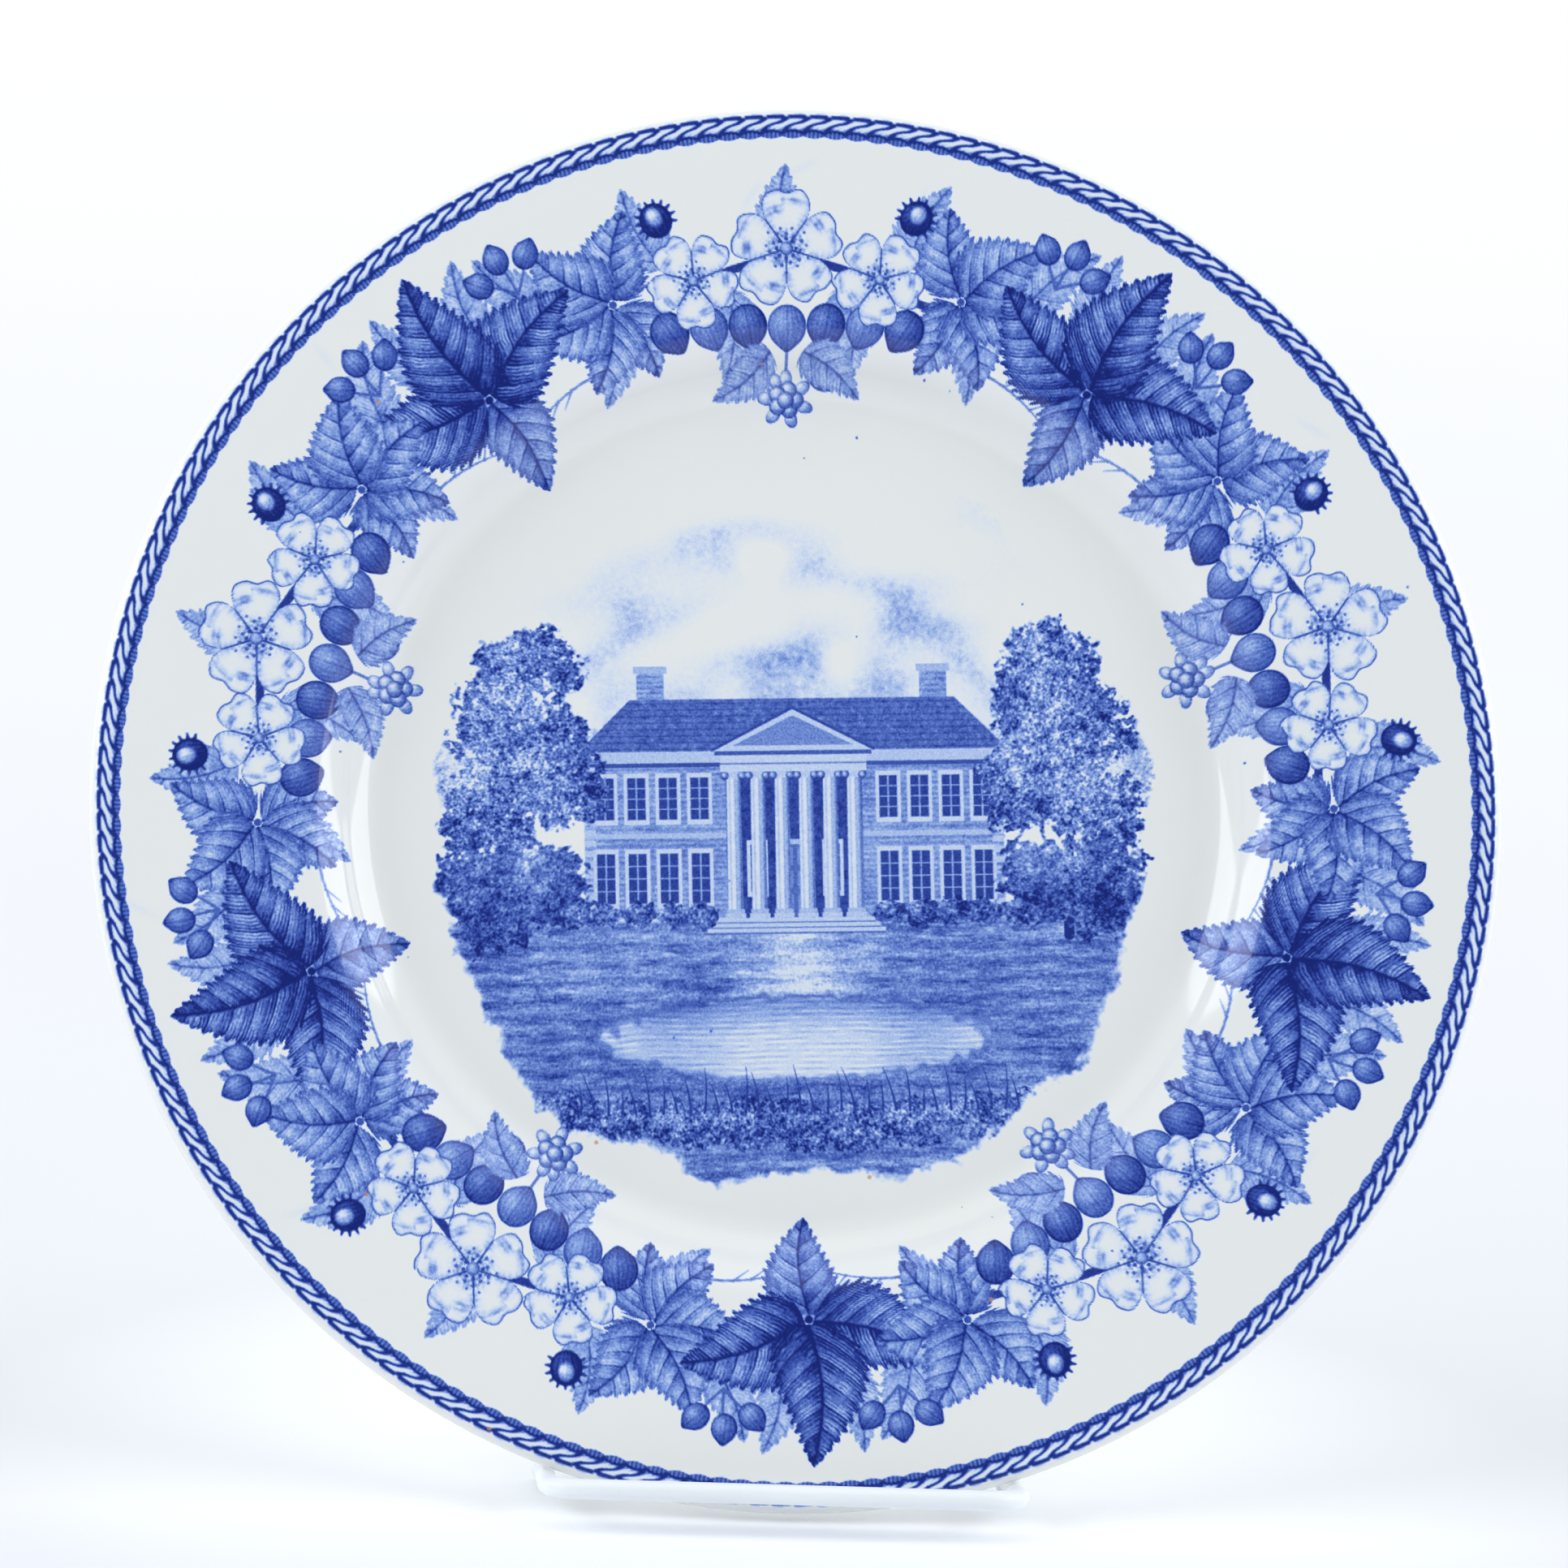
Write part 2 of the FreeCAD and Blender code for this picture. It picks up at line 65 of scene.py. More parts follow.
# ------------------------------------------------------------------ sizes of the print
ROPE_INNER, ROPE_OUTER, ROPE_TWISTS = 127.6, 132.1, 200
SCENE_RADIUS = 69.5
PRINT_TURN = math.radians(2.7)    # the plate sits turned a little in its stand
REPEATS = 5                       # the garland repeats evenly round the rim


# ================================================================== the ink drawing
# The underglaze print is drawn in millimetres on a grid of tones: 0 is bare glaze and
# 1 the deepest cobalt. The grid is then read at the plate's vertices.

class Ink:
    """A square grid of tones with soft-edged painting."""

    def __init__(self, half, step):
        self.half = half
        self.step = step
        count = int(round(2 * half / step)) + 1
        self.tone = np.zeros((count, count), np.float32)

    def patch(self, x, y, reach):
        """The part of the grid around a place, and its points' coordinates."""
        last = self.tone.shape[0]
        columns = [int((x + side * reach + self.half) / self.step) for side in (-1, 1)]
        rows = [int((y + side * reach + self.half) / self.step) for side in (-1, 1)]
        columns = np.clip(columns, 0, last)
        rows = np.clip(rows, 0, last)
        across = np.arange(columns[0], columns[1]) * self.step - self.half
        upward = np.arange(rows[0], rows[1]) * self.step - self.half
        area = (slice(rows[0], rows[1]), slice(columns[0], columns[1]))
        return area, *np.meshgrid(across.astype(np.float32), upward.astype(np.float32))

    def lay(self, area, cover, tone):
        """Blend a tone over the grid where cover is 1."""
        under = self.tone[area]
        self.tone[area] = under + (tone - under) * cover

    def read(self, x, y):
        """Tones at places given in millimetres, blended between grid points."""
        fx = (np.asarray(x) + self.half) / self.step
        fy = (np.asarray(y) + self.half) / self.step
        last = self.tone.shape[0] - 2
        ix = np.clip(fx.astype(int), 0, last)
        iy = np.clip(fy.astype(int), 0, last)
        tx, ty = fx - ix, fy - iy
        low = self.tone[iy, ix] * (1 - tx) + self.tone[iy, ix + 1] * tx
        high = self.tone[iy + 1, ix] * (1 - tx) + self.tone[iy + 1, ix + 1] * tx
        return low * (1 - ty) + high * ty


def soft(distance, blur=0.16):
    """Coverage from a signed distance in millimetres, positive inside."""
    return np.clip(distance / blur + 0.5, 0, 1)


def bump(value, width):
    return np.exp(-(value / width) ** 2)


def smooth_noise(shape, step, size, seed, stretch=1.0):
    """Noise with features of a given size in millimetres, from -1 to 1 for the most part."""
    source = np.random.default_rng(seed).standard_normal(shape)
    fy = np.fft.fftfreq(shape[0], step)[:, None]
    fx = np.fft.rfftfreq(shape[1], step)[None, :] * stretch
    band = np.exp(-((fx ** 2 + fy ** 2) * size ** 2) * 3)
    field = np.fft.irfft2(np.fft.rfft2(source) * band, shape)
    return (field / (2 * field.std())).astype(np.float32)


INK = Ink(134.0, 0.10)
GRAIN_DOT = smooth_noise(INK.tone.shape, INK.step, 0.36, 10)
GRAIN_FINE = smooth_noise(INK.tone.shape, INK.step, 0.75, 11)
GRAIN_LEAF = smooth_noise(INK.tone.shape, INK.step, 1.7, 12)
GRAIN_MASS = smooth_noise(INK.tone.shape, INK.step, 7.0, 13)
GRAIN_GRASS = smooth_noise(INK.tone.shape, INK.step, 0.38, 14, 6.0)
GRAIN_CLOUD = smooth_noise(INK.tone.shape, INK.step, 9.0, 15, 2.2)


def direction(degrees):
    return math.cos(math.radians(degrees)), math.sin(math.radians(degrees))


def stroke(points, width, tone, tip=0.35):
    """A line through points that narrows towards its end."""
    points = np.asarray(points, float)
    middle = points.mean(axis=0)
    reach = np.abs(points - middle).max() + width + 0.5
    area, X, Y = INK.patch(middle[0], middle[1], reach)
    depth = np.full(X.shape, -9.0, np.float32)
    count = len(points) - 1
    for index, (start, end) in enumerate(zip(points[:-1], points[1:])):
        run = end - start
        length2 = max(float(run @ run), 1e-9)
        along = np.clip(((X - start[0]) * run[0] + (Y - start[1]) * run[1]) / length2, 0, 1)
        gap = np.hypot(X - start[0] - along * run[0], Y - start[1] - along * run[1])
        share = (index + along) / count
        depth = np.maximum(depth, width / 2 * (1 - (1 - tip) * share) - gap)
    INK.lay(area, soft(depth), tone)


def curve(start, heading, length, turn, steps=9):
    """Points of a line that sets off at a heading and turns evenly, in degrees."""
    points = [start]
    for index in range(steps):
        dx, dy = direction(heading + turn * (index + 0.5) / steps)
        points.append((points[-1][0] + dx * length / steps, points[-1][1] + dy * length / steps))
    return points


def leaflet(x, y, heading, length, width, tone, veins=5, bend=0.08):
    """One serrated leaf blade from its base, with a midrib, side veins and hatching."""
    c, s = direction(heading)
    area, X, Y = INK.patch(x + c * length / 2, y + s * length / 2, length * 0.60 + width * 0.3)
    u = ((X - x) * c + (Y - y) * s) / length
    v = (-(X - x) * s + (Y - y) * c) / length - bend * np.sin(math.pi * np.clip(u, 0, 1))
    side, run = np.abs(v), np.clip(u, 0, 1)
    outline = np.clip(np.sin(math.pi * run ** 0.62), 0, 1) ** 0.78 * (1.10 - 0.26 * run)
    teeth = (run - 0.30 * side) * veins * 2.1
    saw = teeth % 1.0 - 0.5 + 0.35 * ((teeth * 2 + 0.3) % 1.0 - 0.5)
    half = outline * width / 2 + saw * np.clip(outline * 2.2, 0, 1) * (0.40 + 0.065 * width)
    inside = np.where((u > 0) & (u < 1), half - side * length, -1.0)
    branch = (run - 0.55 * side - 0.95 * side ** 2) * veins + 0.15 * (v > 0)
    away = (branch % 1.0 - 0.5) * length / veins * 0.8
    far = side * length / (outline * width / 2 + 0.2)
    ridge = np.exp(-np.abs(away) / 1.15) * np.clip(side * length / 0.8, 0, 1) * (1.1 - 0.7 * far)
    deep = 1.0 if tone > 0.7 else 0.75 if tone > 0.5 else 0.35
    shade = tone + deep * np.where(away > 0, 0.20, -0.24) * ridge
    shade += (0.18 + 0.16 * deep) * bump(away, 0.19) * (branch > 0.3) * np.clip(1.5 - 1.6 * far, 0, 1)
    shade += deep * np.where(v < 0, 0.22, -0.14) * np.exp(-side * length / 1.3)
    shade += 0.24 * deep * bump(inside, 0.9) + 0.22 * deep * (1 - run) ** 3
    shade -= 0.27 * deep * bump(side * length / (outline * width / 2 + 0.1) - 0.5, 0.34) * bump(run - 0.5, 0.34)
    strokes = np.sin(away * 9.5 + 1.8 * GRAIN_LEAF[area]) * np.clip(0.7 + GRAIN_LEAF[area], 0, 1.2)
    shade += (0.20 if tone > 0.7 else 0.07) * strokes * (side * length > 0.5)
    shade += 0.10 * GRAIN_DOT[area] + 0.05 * GRAIN_FINE[area]
    shade += 0.34 * bump(side * length, 0.22) * (run < 0.96)
    INK.lay(area, soft(inside), np.clip(shade, 0.08, 1.0))


def flower(x, y, radius, turn):
    """Five broad white petals, a stippled throat and rings of stamens."""
    area, X, Y = INK.patch(x, y, radius * 1.15)
    dx, dy = X - x, Y - y
    reach = np.hypot(dx, dy)
    angle = np.arctan2(dy, dx) - turn
    fifth = TAU / 5
    petal = np.round(angle / fifth)
    a = angle - petal * fifth
    b = np.abs(a / (fifth / 2))
    edge = radius * (1.0 - 0.08 * bump(a, 0.15) - 0.42 * b ** 4)
    edge *= 1 + 0.035 * np.sin(petal * 2.1 + turn) + 0.010 * np.sin(a * 19)
    seam = reach * np.sin(np.clip(fifth / 2 - np.abs(a), 0, 1)) - 0.20
    inside = np.minimum(edge - reach, seam)
    INK.lay(area, soft(edge - reach + 0.32), 0.80)
    INK.lay(area, soft(inside), 0.03)
    share = reach / radius
    brush = 0.52 * bump(share - 0.70, 0.09) * bump(b - 0.45, 0.28) * (a > 0)
    brush += 0.40 * bump(share - 0.84, 0.06) * bump(b - 0.30, 0.35) * (a < 0.1)
    brush += 0.20 * bump(inside, 0.55) * (share > 0.4) + 0.12 * bump(b - 0.8, 0.2) * (share > 0.45)
    throat = 0.38 * bump(share - 0.22, 0.15) * (0.8 + 0.8 * GRAIN_DOT[area])
    stipple = np.clip(0.85 + 0.35 * GRAIN_FINE[area] + 0.25 * np.sin(share * 60), 0, 1.4)
    INK.lay(area, soft(inside), np.clip(0.02 + brush * stipple + throat, 0, 0.6))
    for index in range(22):
        place = TAU * index / 22 + turn
        far = radius * (0.25, 0.36, 0.30, 0.42)[index % 4]
        spot(x + far * math.cos(place), y + far * math.sin(place), radius * (0.026 if index % 2 else 0.034), 0.72)
    for index in range(5):
        place = TAU * (index + 0.5) / 5 + turn
        ray = [(x + radius * k * math.cos(place), y + radius * k * math.sin(place)) for k in (0.14, 0.40)]
        stroke(ray, 0.45, 0.85, 0.3)
    ball(x, y, radius * 0.12, 0.40, 0.2)
    for index in range(8):
        place = TAU * index / 8
        spot(x + radius * 0.17 * math.cos(place), y + radius * 0.17 * math.sin(place), radius * 0.034, 0.85)


def spot(x, y, radius, tone):
    area, X, Y = INK.patch(x, y, radius + 0.4)
    INK.lay(area, soft(radius - np.hypot(X - x, Y - y)), tone)


def ball(x, y, radius, tone, shine=0.30, squash=1.0, heading=0.0, point=0.0):
    """A berry, bud or round leaf: dark rim, lit side, fine lines along it, perhaps a point."""
    c, s = direction(heading)
    area, X, Y = INK.patch(x, y, radius * 1.5 + 0.5)
    u = ((X - x) * c + (Y - y) * s) / radius
    v = (-(X - x) * s + (Y - y) * c) / radius / squash
    reach = np.hypot(u, v) / (1 + point * bump(np.arctan2(v, u), 0.34))
    lit = bump(np.hypot((X - x) / radius + 0.25, (Y - y) / radius - 0.28), 0.62)
    shade = tone + 0.14 - (shine + 0.14) * lit + 0.26 * bump((1 - reach) * radius, 0.38)
    shade += 0.045 * np.sin(v * radius * 7 / (1.25 - 0.5 * np.clip(np.abs(u), 0, 1)))
    shade += 0.06 * GRAIN_DOT[area] + (0.12 * bump(v * radius, 0.2) if point else 0)
    INK.lay(area, soft((1 - reach) * radius), np.clip(shade, 0.05, 1))


def rosebud(x, y, size, heading):
    """A pale bud held in a dark toothed calyx."""
    dx, dy = direction(heading)
    for turn in range(-120, 121, 24):
        tip = direction(heading + turn)
        stroke([(x, y), (x + tip[0] * size * 1.16, y + tip[1] * size * 1.16)], size * 0.6, 0.92, 0.2)
    ball(x, y, size, 0.88, 0.10, 0.90, heading)
    ball(x + dx * size * 0.22, y + dy * size * 0.22, size * 0.56, 0.36, 0.34, 0.82, heading)


def berries(x, y, size, heading):
    """A cluster of small round drupelets with a few longer ones round them."""
    for turn in range(-150, 181, 55):
        tip = direction(heading + turn)
        at = (x + tip[0] * size * 0.78, y + tip[1] * size * 0.78)
        ball(at[0], at[1], size * 0.36, 0.40, 0.34, 0.70, heading + turn)
    for ring, count in ((0.40, 5), (0.0, 1)):
        for index in range(count):
            tip = direction(heading + 360 * index / count + 20)
            ball(x + tip[0] * size * ring, y + tip[1] * size * ring, size * 0.34, 0.50, 0.46)


def twig(x, y, heading, length, turn):
    """A thin bare twig with short side shoots."""
    line = curve((x, y), heading, length, turn)
    stroke(line, 0.55, 0.60, 0.5)
    for index in (3, 5, 7):
        lean = 42 if index % 2 else -42
        stroke(curve(line[index], heading + lean, length * 0.24, 0, 2), 0.42, 0.58, 0.4)
        spot(line[index][0], line[index][1], 0.32, 0.62)


def around(place, radius):
    """A place on the plate, from an angle in degrees round the rim and a radius."""
    dx, dy = direction(place)
    return dx * radius, dy * radius


def leaf_fan(place, radius, side, blades, tone, width=0.66, veins=5):
    """Leaflets from one point. Each is a turn away from outward, to one side, and a length."""
    x, y = around(place, radius)
    for turn, length in blades:
        heading = place + side * turn
        dx, dy = direction(heading)
        leaflet(x + dx * 0.9, y + dy * 0.9, heading, length, length * width, tone, veins)
    spot(x, y, 0.75, min(tone + 0.25, 1))


# One repeat of the garland is the same to both sides of its middle line: a nosegay of three
# flowers, leaves that grow smaller and larger by rule, and a fan of dark leaves halfway on.

HALF_REPEAT = 180 / REPEATS       # degrees from a nosegay to the dark leaves


def garland_back(place):
    """The pale stippled leaves, pointing outward and inward by turns, and bare twigs."""
    for step in range(-5, 6):
        here = place + 6.4 * step
        if step % 2:
            leaflet(*around(here, 100), here + 180 - 8 * step, 17, 9.5, 0.37, 4)
        else:
            leaflet(*around(here, 106), here + 8 * step, 17, 10.0, 0.37, 4)
    for side in (-1, 1):
        leaflet(*around(place + side * 33, 106), place + side * 22, 17, 9.0, 0.37, 4)
        twig(*around(place + side * 24, 91), place + side * 118, 15, side * 25)


def garland_stems(place):
    """A stem that swings in and out along the whole garland."""
    for start in range(0, int(2 * HALF_REPEAT), 6):
        line = [around(place + start + k, 102 + 3 * math.cos(math.radians(10 * (start + k))))
                for k in (0, 2, 4, 6)]
        stroke(line, 1.6, 0.90, 1.0)
    stroke([around(place, 94), around(place, 83)], 0.7, 0.62, 0.8)


def garland_leaves(place):
    for side in (-1, 1):
        leaf_fan(place + side * 19, 102, side, ((-165, 15), (150, 16), (95, 17), (-25, 17), (40, 18)),
                 0.53, 0.80)
    between = place + HALF_REPEAT
    leaf_fan(between, 97, 1, ((180, 19),), 0.60, 0.72)
    for side in (-1, 1):
        leaf_fan(between, 97, side, ((72, 25),), 0.76, 0.68, 6)
    leaf_fan(between, 97, 1, ((0, 27),), 0.80, 0.64, 6)


def garland_fruit(place):
    """Round hips under the flowers, buds above them and a hanging cluster of berries."""
    for step in (-3, 3, -2, 2, -1, 1, 0):
        tone = 0.72 if step % 2 else 0.56
        ball(*around(place + 4.6 * step, 92.5 + 0.5 * abs(step)), 4.0, tone, 0.20, 0.92,
             place + 180 + 12 * step, 0.16)
    for side in (-1, 1):
        rosebud(*around(place + side * 12.5, 115), 3.4, place + side * 32)
        ball(*around(place + side * 5, 84.5), 3.4, 0.55, 0.26, 0.92, place + side * 120, 0.16)
        leaflet(*around(place + side * 2, 88), place + side * 128, 14, 8.2, 0.42, 4)
        x, y = around(place + side * 27.5, 111)
        for turn in (-45, 0, 45):
            heading = place + side * 27.5 + turn
            line = curve((x, y), heading, 7.5, 14 * side, 4)
            stroke(line, 0.6, 0.7, 0.7)
            ball(*line[-1], 2.8, 0.64, 0.24, 0.88, heading, 0.20)
    berries(*around(place, 79.5), 4.8, place + 180)


def garland_flowers(place):
    for side in (-1, 1):
        flower(*around(place + side * 10.0, 102.5), 8.8, math.radians(place + side * 40))
    flower(*around(place, 107), 10.8, math.radians(place))


def draw_garland():
    for part in (garland_back, garland_stems, garland_leaves, garland_fruit, garland_flowers):
        for index in range(REPEATS):
            part(90 + 360 * index / REPEATS)


def draw_rope():
    """The twisted rope round the edge: hatched strands, dark gaps and a scalloped inner strip."""
    area, X, Y = INK.patch(0, 0, INK.half)
    reach = np.hypot(X, Y)
    ring = (reach > ROPE_INNER - 0.6) & (reach < ROPE_OUTER + 0.6)
    r = reach[ring]
    turns = np.arctan2(Y[ring], X[ring]) / TAU * ROPE_TWISTS
    pitch = TAU * 130 / ROPE_TWISTS
    scallop = np.abs(np.sin(math.pi * (turns - 0.15)))
    strip_edge = ROPE_INNER + 1.0 + 0.40 * scallop
    level = (r - strip_edge) / (ROPE_OUTER - 0.2 - strip_edge)
    strand = (turns + 1.05 * level - 0.20 * np.sin(TAU * np.clip(level, 0, 1))) % 1.0
    gap = np.minimum(strand, 1 - strand) * pitch * 0.56
    lens = np.minimum(gap - 0.32, np.minimum(r - strip_edge - 0.20, ROPE_OUTER - 0.60 - r))
    lens -= 0.55 * np.clip(np.abs(level - 0.5) - 0.20, 0, 1)
    hatch = 0.55 + 0.45 * np.sin(strand * TAU * 4 + level * 5)
    shaded = np.clip(0.62 - strand * 1.5, 0, 1) + np.clip(0.62 - level * 1.5, 0, 1)
    shade = 0.05 + 0.66 * np.clip(shaded, 0, 1) * hatch + 0.30 * bump(lens, 0.22)
    tone = np.full(r.shape, 0.95, np.float32)
    strip = 0.70 + 0.14 * np.sin(turns * TAU * 5 + level) + 0.38 * bump(r - strip_edge, 0.20)
    strip = np.maximum(strip, 0.97 * bump(scallop, 0.26))
    tone = np.where(r < strip_edge, strip, tone)
    tone = tone + (shade - tone) * soft(lens, 0.2)
    outer = ROPE_OUTER + 0.15 - 0.40 * bump(gap, 0.40)
    inner = ROPE_INNER + 0.45 - 0.45 * scallop
    cover = soft(r - inner) * soft(outer - r)
    canvas = INK.tone[area]
    canvas[ring] += (np.clip(tone, 0, 1) - canvas[ring]) * cover


# ------------------------------------------------------------------ the picture in the well
# An invented view, laid out the same to the left and to the right: a plain hall with a
# pediment over its porch, round trees beside it, and a lawn with a pond in front.

GROUND = -20.0
HALL_HALF, HALL_TOP = 40.0, 12.0
PORCH_HALF, PORCH_TOP = 13.0, 8.0
BAY = 6.0                          # from one window to the next
POND_LEVEL, POND_HALF = -43.0, 38.0


def quad(corners, tone, blur=0.16):
    """A convex four-sided area, its corners counter-clockwise. The tone may be a function."""
    corners = np.asarray(corners, float)
    middle = corners.mean(axis=0)
    reach = np.abs(corners - middle).max() + 0.6
    area, X, Y = INK.patch(middle[0], middle[1], reach)
    cover = np.ones(X.shape, np.float32)
    for start, end in zip(corners, np.roll(corners, -1, axis=0)):
        run = (end - start) / max(np.hypot(*(end - start)), 1e-6)
        cover = np.minimum(cover, soft(run[0] * (Y - start[1]) - run[1] * (X - start[0]), blur))
    INK.lay(area, cover, tone(area, X, Y) if callable(tone) else tone)


def block(middle, low, half, high, tone):
    """An upright rectangle from its middle line, its half width and its two levels."""
    quad([(middle - half, low), (middle + half, low), (middle + half, high), (middle - half, high)], tone)


def gable(low, half, high, tone):
    """A low triangle over the middle of the hall."""
    quad([(-half, low), (half, low), (0.3, high), (-0.3, high)], tone)


def brick(area, X, Y):
    """Rough walling in level courses."""
    courses = 0.06 * np.sin(Y * 6.0)
    return 0.46 + courses + 0.08 * GRAIN_GRASS[area] + 0.08 * GRAIN_DOT[area] + 0.05 * GRAIN_MASS[area]


def slates(area, X, Y):
    rows = 0.10 * (np.abs((Y * 0.8) % 1 - 0.5) > 0.38)
    return 0.66 + rows + 0.08 * GRAIN_DOT[area] + 0.06 * GRAIN_FINE[area]


def foliage(blobs, tone, holes=0.0, ragged=0.55, contrast=0.30):
    """Engraved leaf masses: ellipses with ragged edges, dabs of leaf and lit tops."""
    blobs = np.asarray(blobs, float)
    low = (blobs[:, :2] - blobs[:, 2:4]).min(axis=0)
    high = (blobs[:, :2] + blobs[:, 2:4]).max(axis=0)
    middle = (low + high) / 2
    area, X, Y = INK.patch(middle[0], middle[1], (high - low).max() / 2 + 5)
    mass = np.full(X.shape, -3.0, np.float32)
    lit = np.zeros(X.shape, np.float32)
    for x, y, wide, tall in blobs:
        reach = 1 - np.hypot((X - x) / wide, (Y - y) / tall)
        mass = np.maximum(mass, reach)
        lit = np.maximum(lit, bump(np.hypot((X - x) / wide + 0.4, (Y - y) / tall - 0.5), 0.5))
    airy = min(holes * 1.2, 0.7)
    grain = (0.55 - 0.4 * airy) * GRAIN_LEAF[area] + 0.5 * GRAIN_FINE[area] + 0.75 * airy * GRAIN_DOT[area]
    edge = mass * 2.2 + ragged * grain + 0.35 * GRAIN_MASS[area] * ragged + 0.12 - holes
    if holes:
        edge -= 0.8 * np.clip(grain + 0.1, 0, 1) * np.clip(1 - mass, 0, 1)
    dabs = contrast * (0.9 * GRAIN_DOT[area] + 0.5 * GRAIN_FINE[area] + 0.45 * GRAIN_LEAF[area])
    shade = tone + dabs - 0.26 * lit + 0.10 * GRAIN_MASS[area]
    INK.lay(area, np.clip(edge / 0.22, 0, 1), np.clip(shade, 0.04, 1.0))


def draw_sky():
    """Drifting clouds, strongest above the roof, and a far line of woods."""
    area, X, Y = INK.patch(0, 26, 60)
    cloud = GRAIN_CLOUD[area]
    tone = 0.40 * bump(cloud - 0.30, 0.42) * np.clip(0.75 + 0.6 * GRAIN_MASS[area], 0, 1.2)
    tone *= 0.82 + 0.30 * GRAIN_FINE[area]
    fade = bump(np.hypot(X / 56, (Y - 34) / 24), 0.92)
    INK.lay(area, fade, np.clip(tone, 0, 0.5))
    for step in range(-6, 7):
        foliage([(10 * step, 7 + 3 * (step % 2), 10, 10)], 0.36, 0.1, 0.7, 0.20)


def window(x, low, high, half=1.7):
    """One sash with a pale surround, a sill and glazing bars."""
    block(x, low - 1.0, half + 0.7, high + 0.9, 0.16)
    block(x, low, half, high, 0.86)
    block(x, low, 0.16, high, 0.34)
    for share in (0.25, 0.5, 0.75):
        level = low + (high - low) * share
        block(x, level - 0.12, half, level + 0.12, 0.34)


def draw_hall():
    """Two rows of evenly spaced windows under a slate roof with two chimneys."""
    for side in (-1, 1):
        block(side * 27, HALL_TOP + 4, 2.6, HALL_TOP + 16, brick)
        block(side * 27, HALL_TOP + 15, 3.2, HALL_TOP + 16.4, 0.30)
    quad([(-HALL_HALF - 1, HALL_TOP), (HALL_HALF + 1, HALL_TOP),
          (HALL_HALF - 9, HALL_TOP + 10), (-HALL_HALF + 9, HALL_TOP + 10)], slates)
    block(0, GROUND, HALL_HALF, HALL_TOP, brick)
    block(0, HALL_TOP - 2.2, HALL_HALF + 1, HALL_TOP, 0.24)
    block(0, HALL_TOP - 3.0, HALL_HALF, HALL_TOP - 2.2, 0.78)
    block(0, -4.6, HALL_HALF, -3.6, 0.26)
    for side in (-1, 1):
        for bay in range(4):
            x = side * (PORCH_HALF + 5.0 + BAY * bay)
            window(x, -17.0, -7.5)
            window(x, -1.0, 7.0)
        for level in range(16):            # dressed stones up the corners
            block(side * (HALL_HALF - 1.1), GROUND + 2 * level, 1.1, GROUND + 2 * level + 1.2, 0.22)


def fluted(x, low, high, wide):
    """One fluted column with a base and a scrolled capital, lit from the left."""
    def flutes(area, X, Y):
        t = (X - x) / (wide / 2)
        roll = 0.10 + 0.50 * np.clip(t, 0, 1) + 0.16 * np.clip(-t - 0.5, 0, 1)
        return roll + 0.16 * np.clip(np.sin(np.arcsin(np.clip(t, -1, 1)) * 9), 0, 1) + 0.03 * GRAIN_FINE[area]
    foot, top = wide / 2, wide * 0.44
    quad([(x - foot, low), (x + foot, low), (x + top, high), (x - top, high)], flutes)
    block(x, low, foot * 1.3, low + 0.9, 0.22)
    block(x, low + 0.9, foot * 1.15, low + 1.7, 0.30)
    block(x, high - 1.2, top * 1.4, high, 0.22)
    for side in (-1, 1):
        ball(x + side * top * 1.25, high - 0.7, wide * 0.20 + 0.2, 0.45, 0.34)


def draw_porch():
    """Steps, a deep shaded porch, six columns and the pediment over them."""
    def inner(area, X, Y):
        return 0.84 + 0.06 * GRAIN_FINE[area] + 0.06 * GRAIN_DOT[area]
    block(0, GROUND, PORCH_HALF, PORCH_TOP, inner)
    block(0, GROUND, 3.0, -5.0, 0.26)                # the door in its surround
    block(0, GROUND, 2.2, -6.0, 0.66)
    for side in (-1, 1):
        for level in (-19, -14.5, -10):
            block(side * 1.1, level, 0.7, level + 3.4, 0.50)
        window(side * 7.2, -15.0, -6.0, 1.3)
    for step in range(3):
        half = PORCH_HALF + 2 + step
        block(0, GROUND - step - 1, half, GROUND - step, 0.20)
        block(0, GROUND - step - 1.1, half, GROUND - step - 0.8, 0.70)
    for index in range(6):
        fluted(-PORCH_HALF + 1.5 + index * (PORCH_HALF - 1.5) * 0.4, GROUND, PORCH_TOP, 3.0)
    block(0, PORCH_TOP, PORCH_HALF + 1, PORCH_TOP + 3.2, 0.18)
    block(0, PORCH_TOP + 1.4, PORCH_HALF + 1, PORCH_TOP + 1.7, 0.60)
    block(0, PORCH_TOP + 3.2, PORCH_HALF + 2, PORCH_TOP + 4.0, 0.74)
    gable(PORCH_TOP + 4.0, PORCH_HALF + 2.4, PORCH_TOP + 12.0, 0.20)
    gable(PORCH_TOP + 5.0, PORCH_HALF - 1.5, PORCH_TOP + 10.6, 0.52)
    stroke([(-PORCH_HALF - 2.4, PORCH_TOP + 4.2), (0, PORCH_TOP + 12.2),
            (PORCH_HALF + 2.4, PORCH_TOP + 4.2)], 0.5, 0.84, 1)


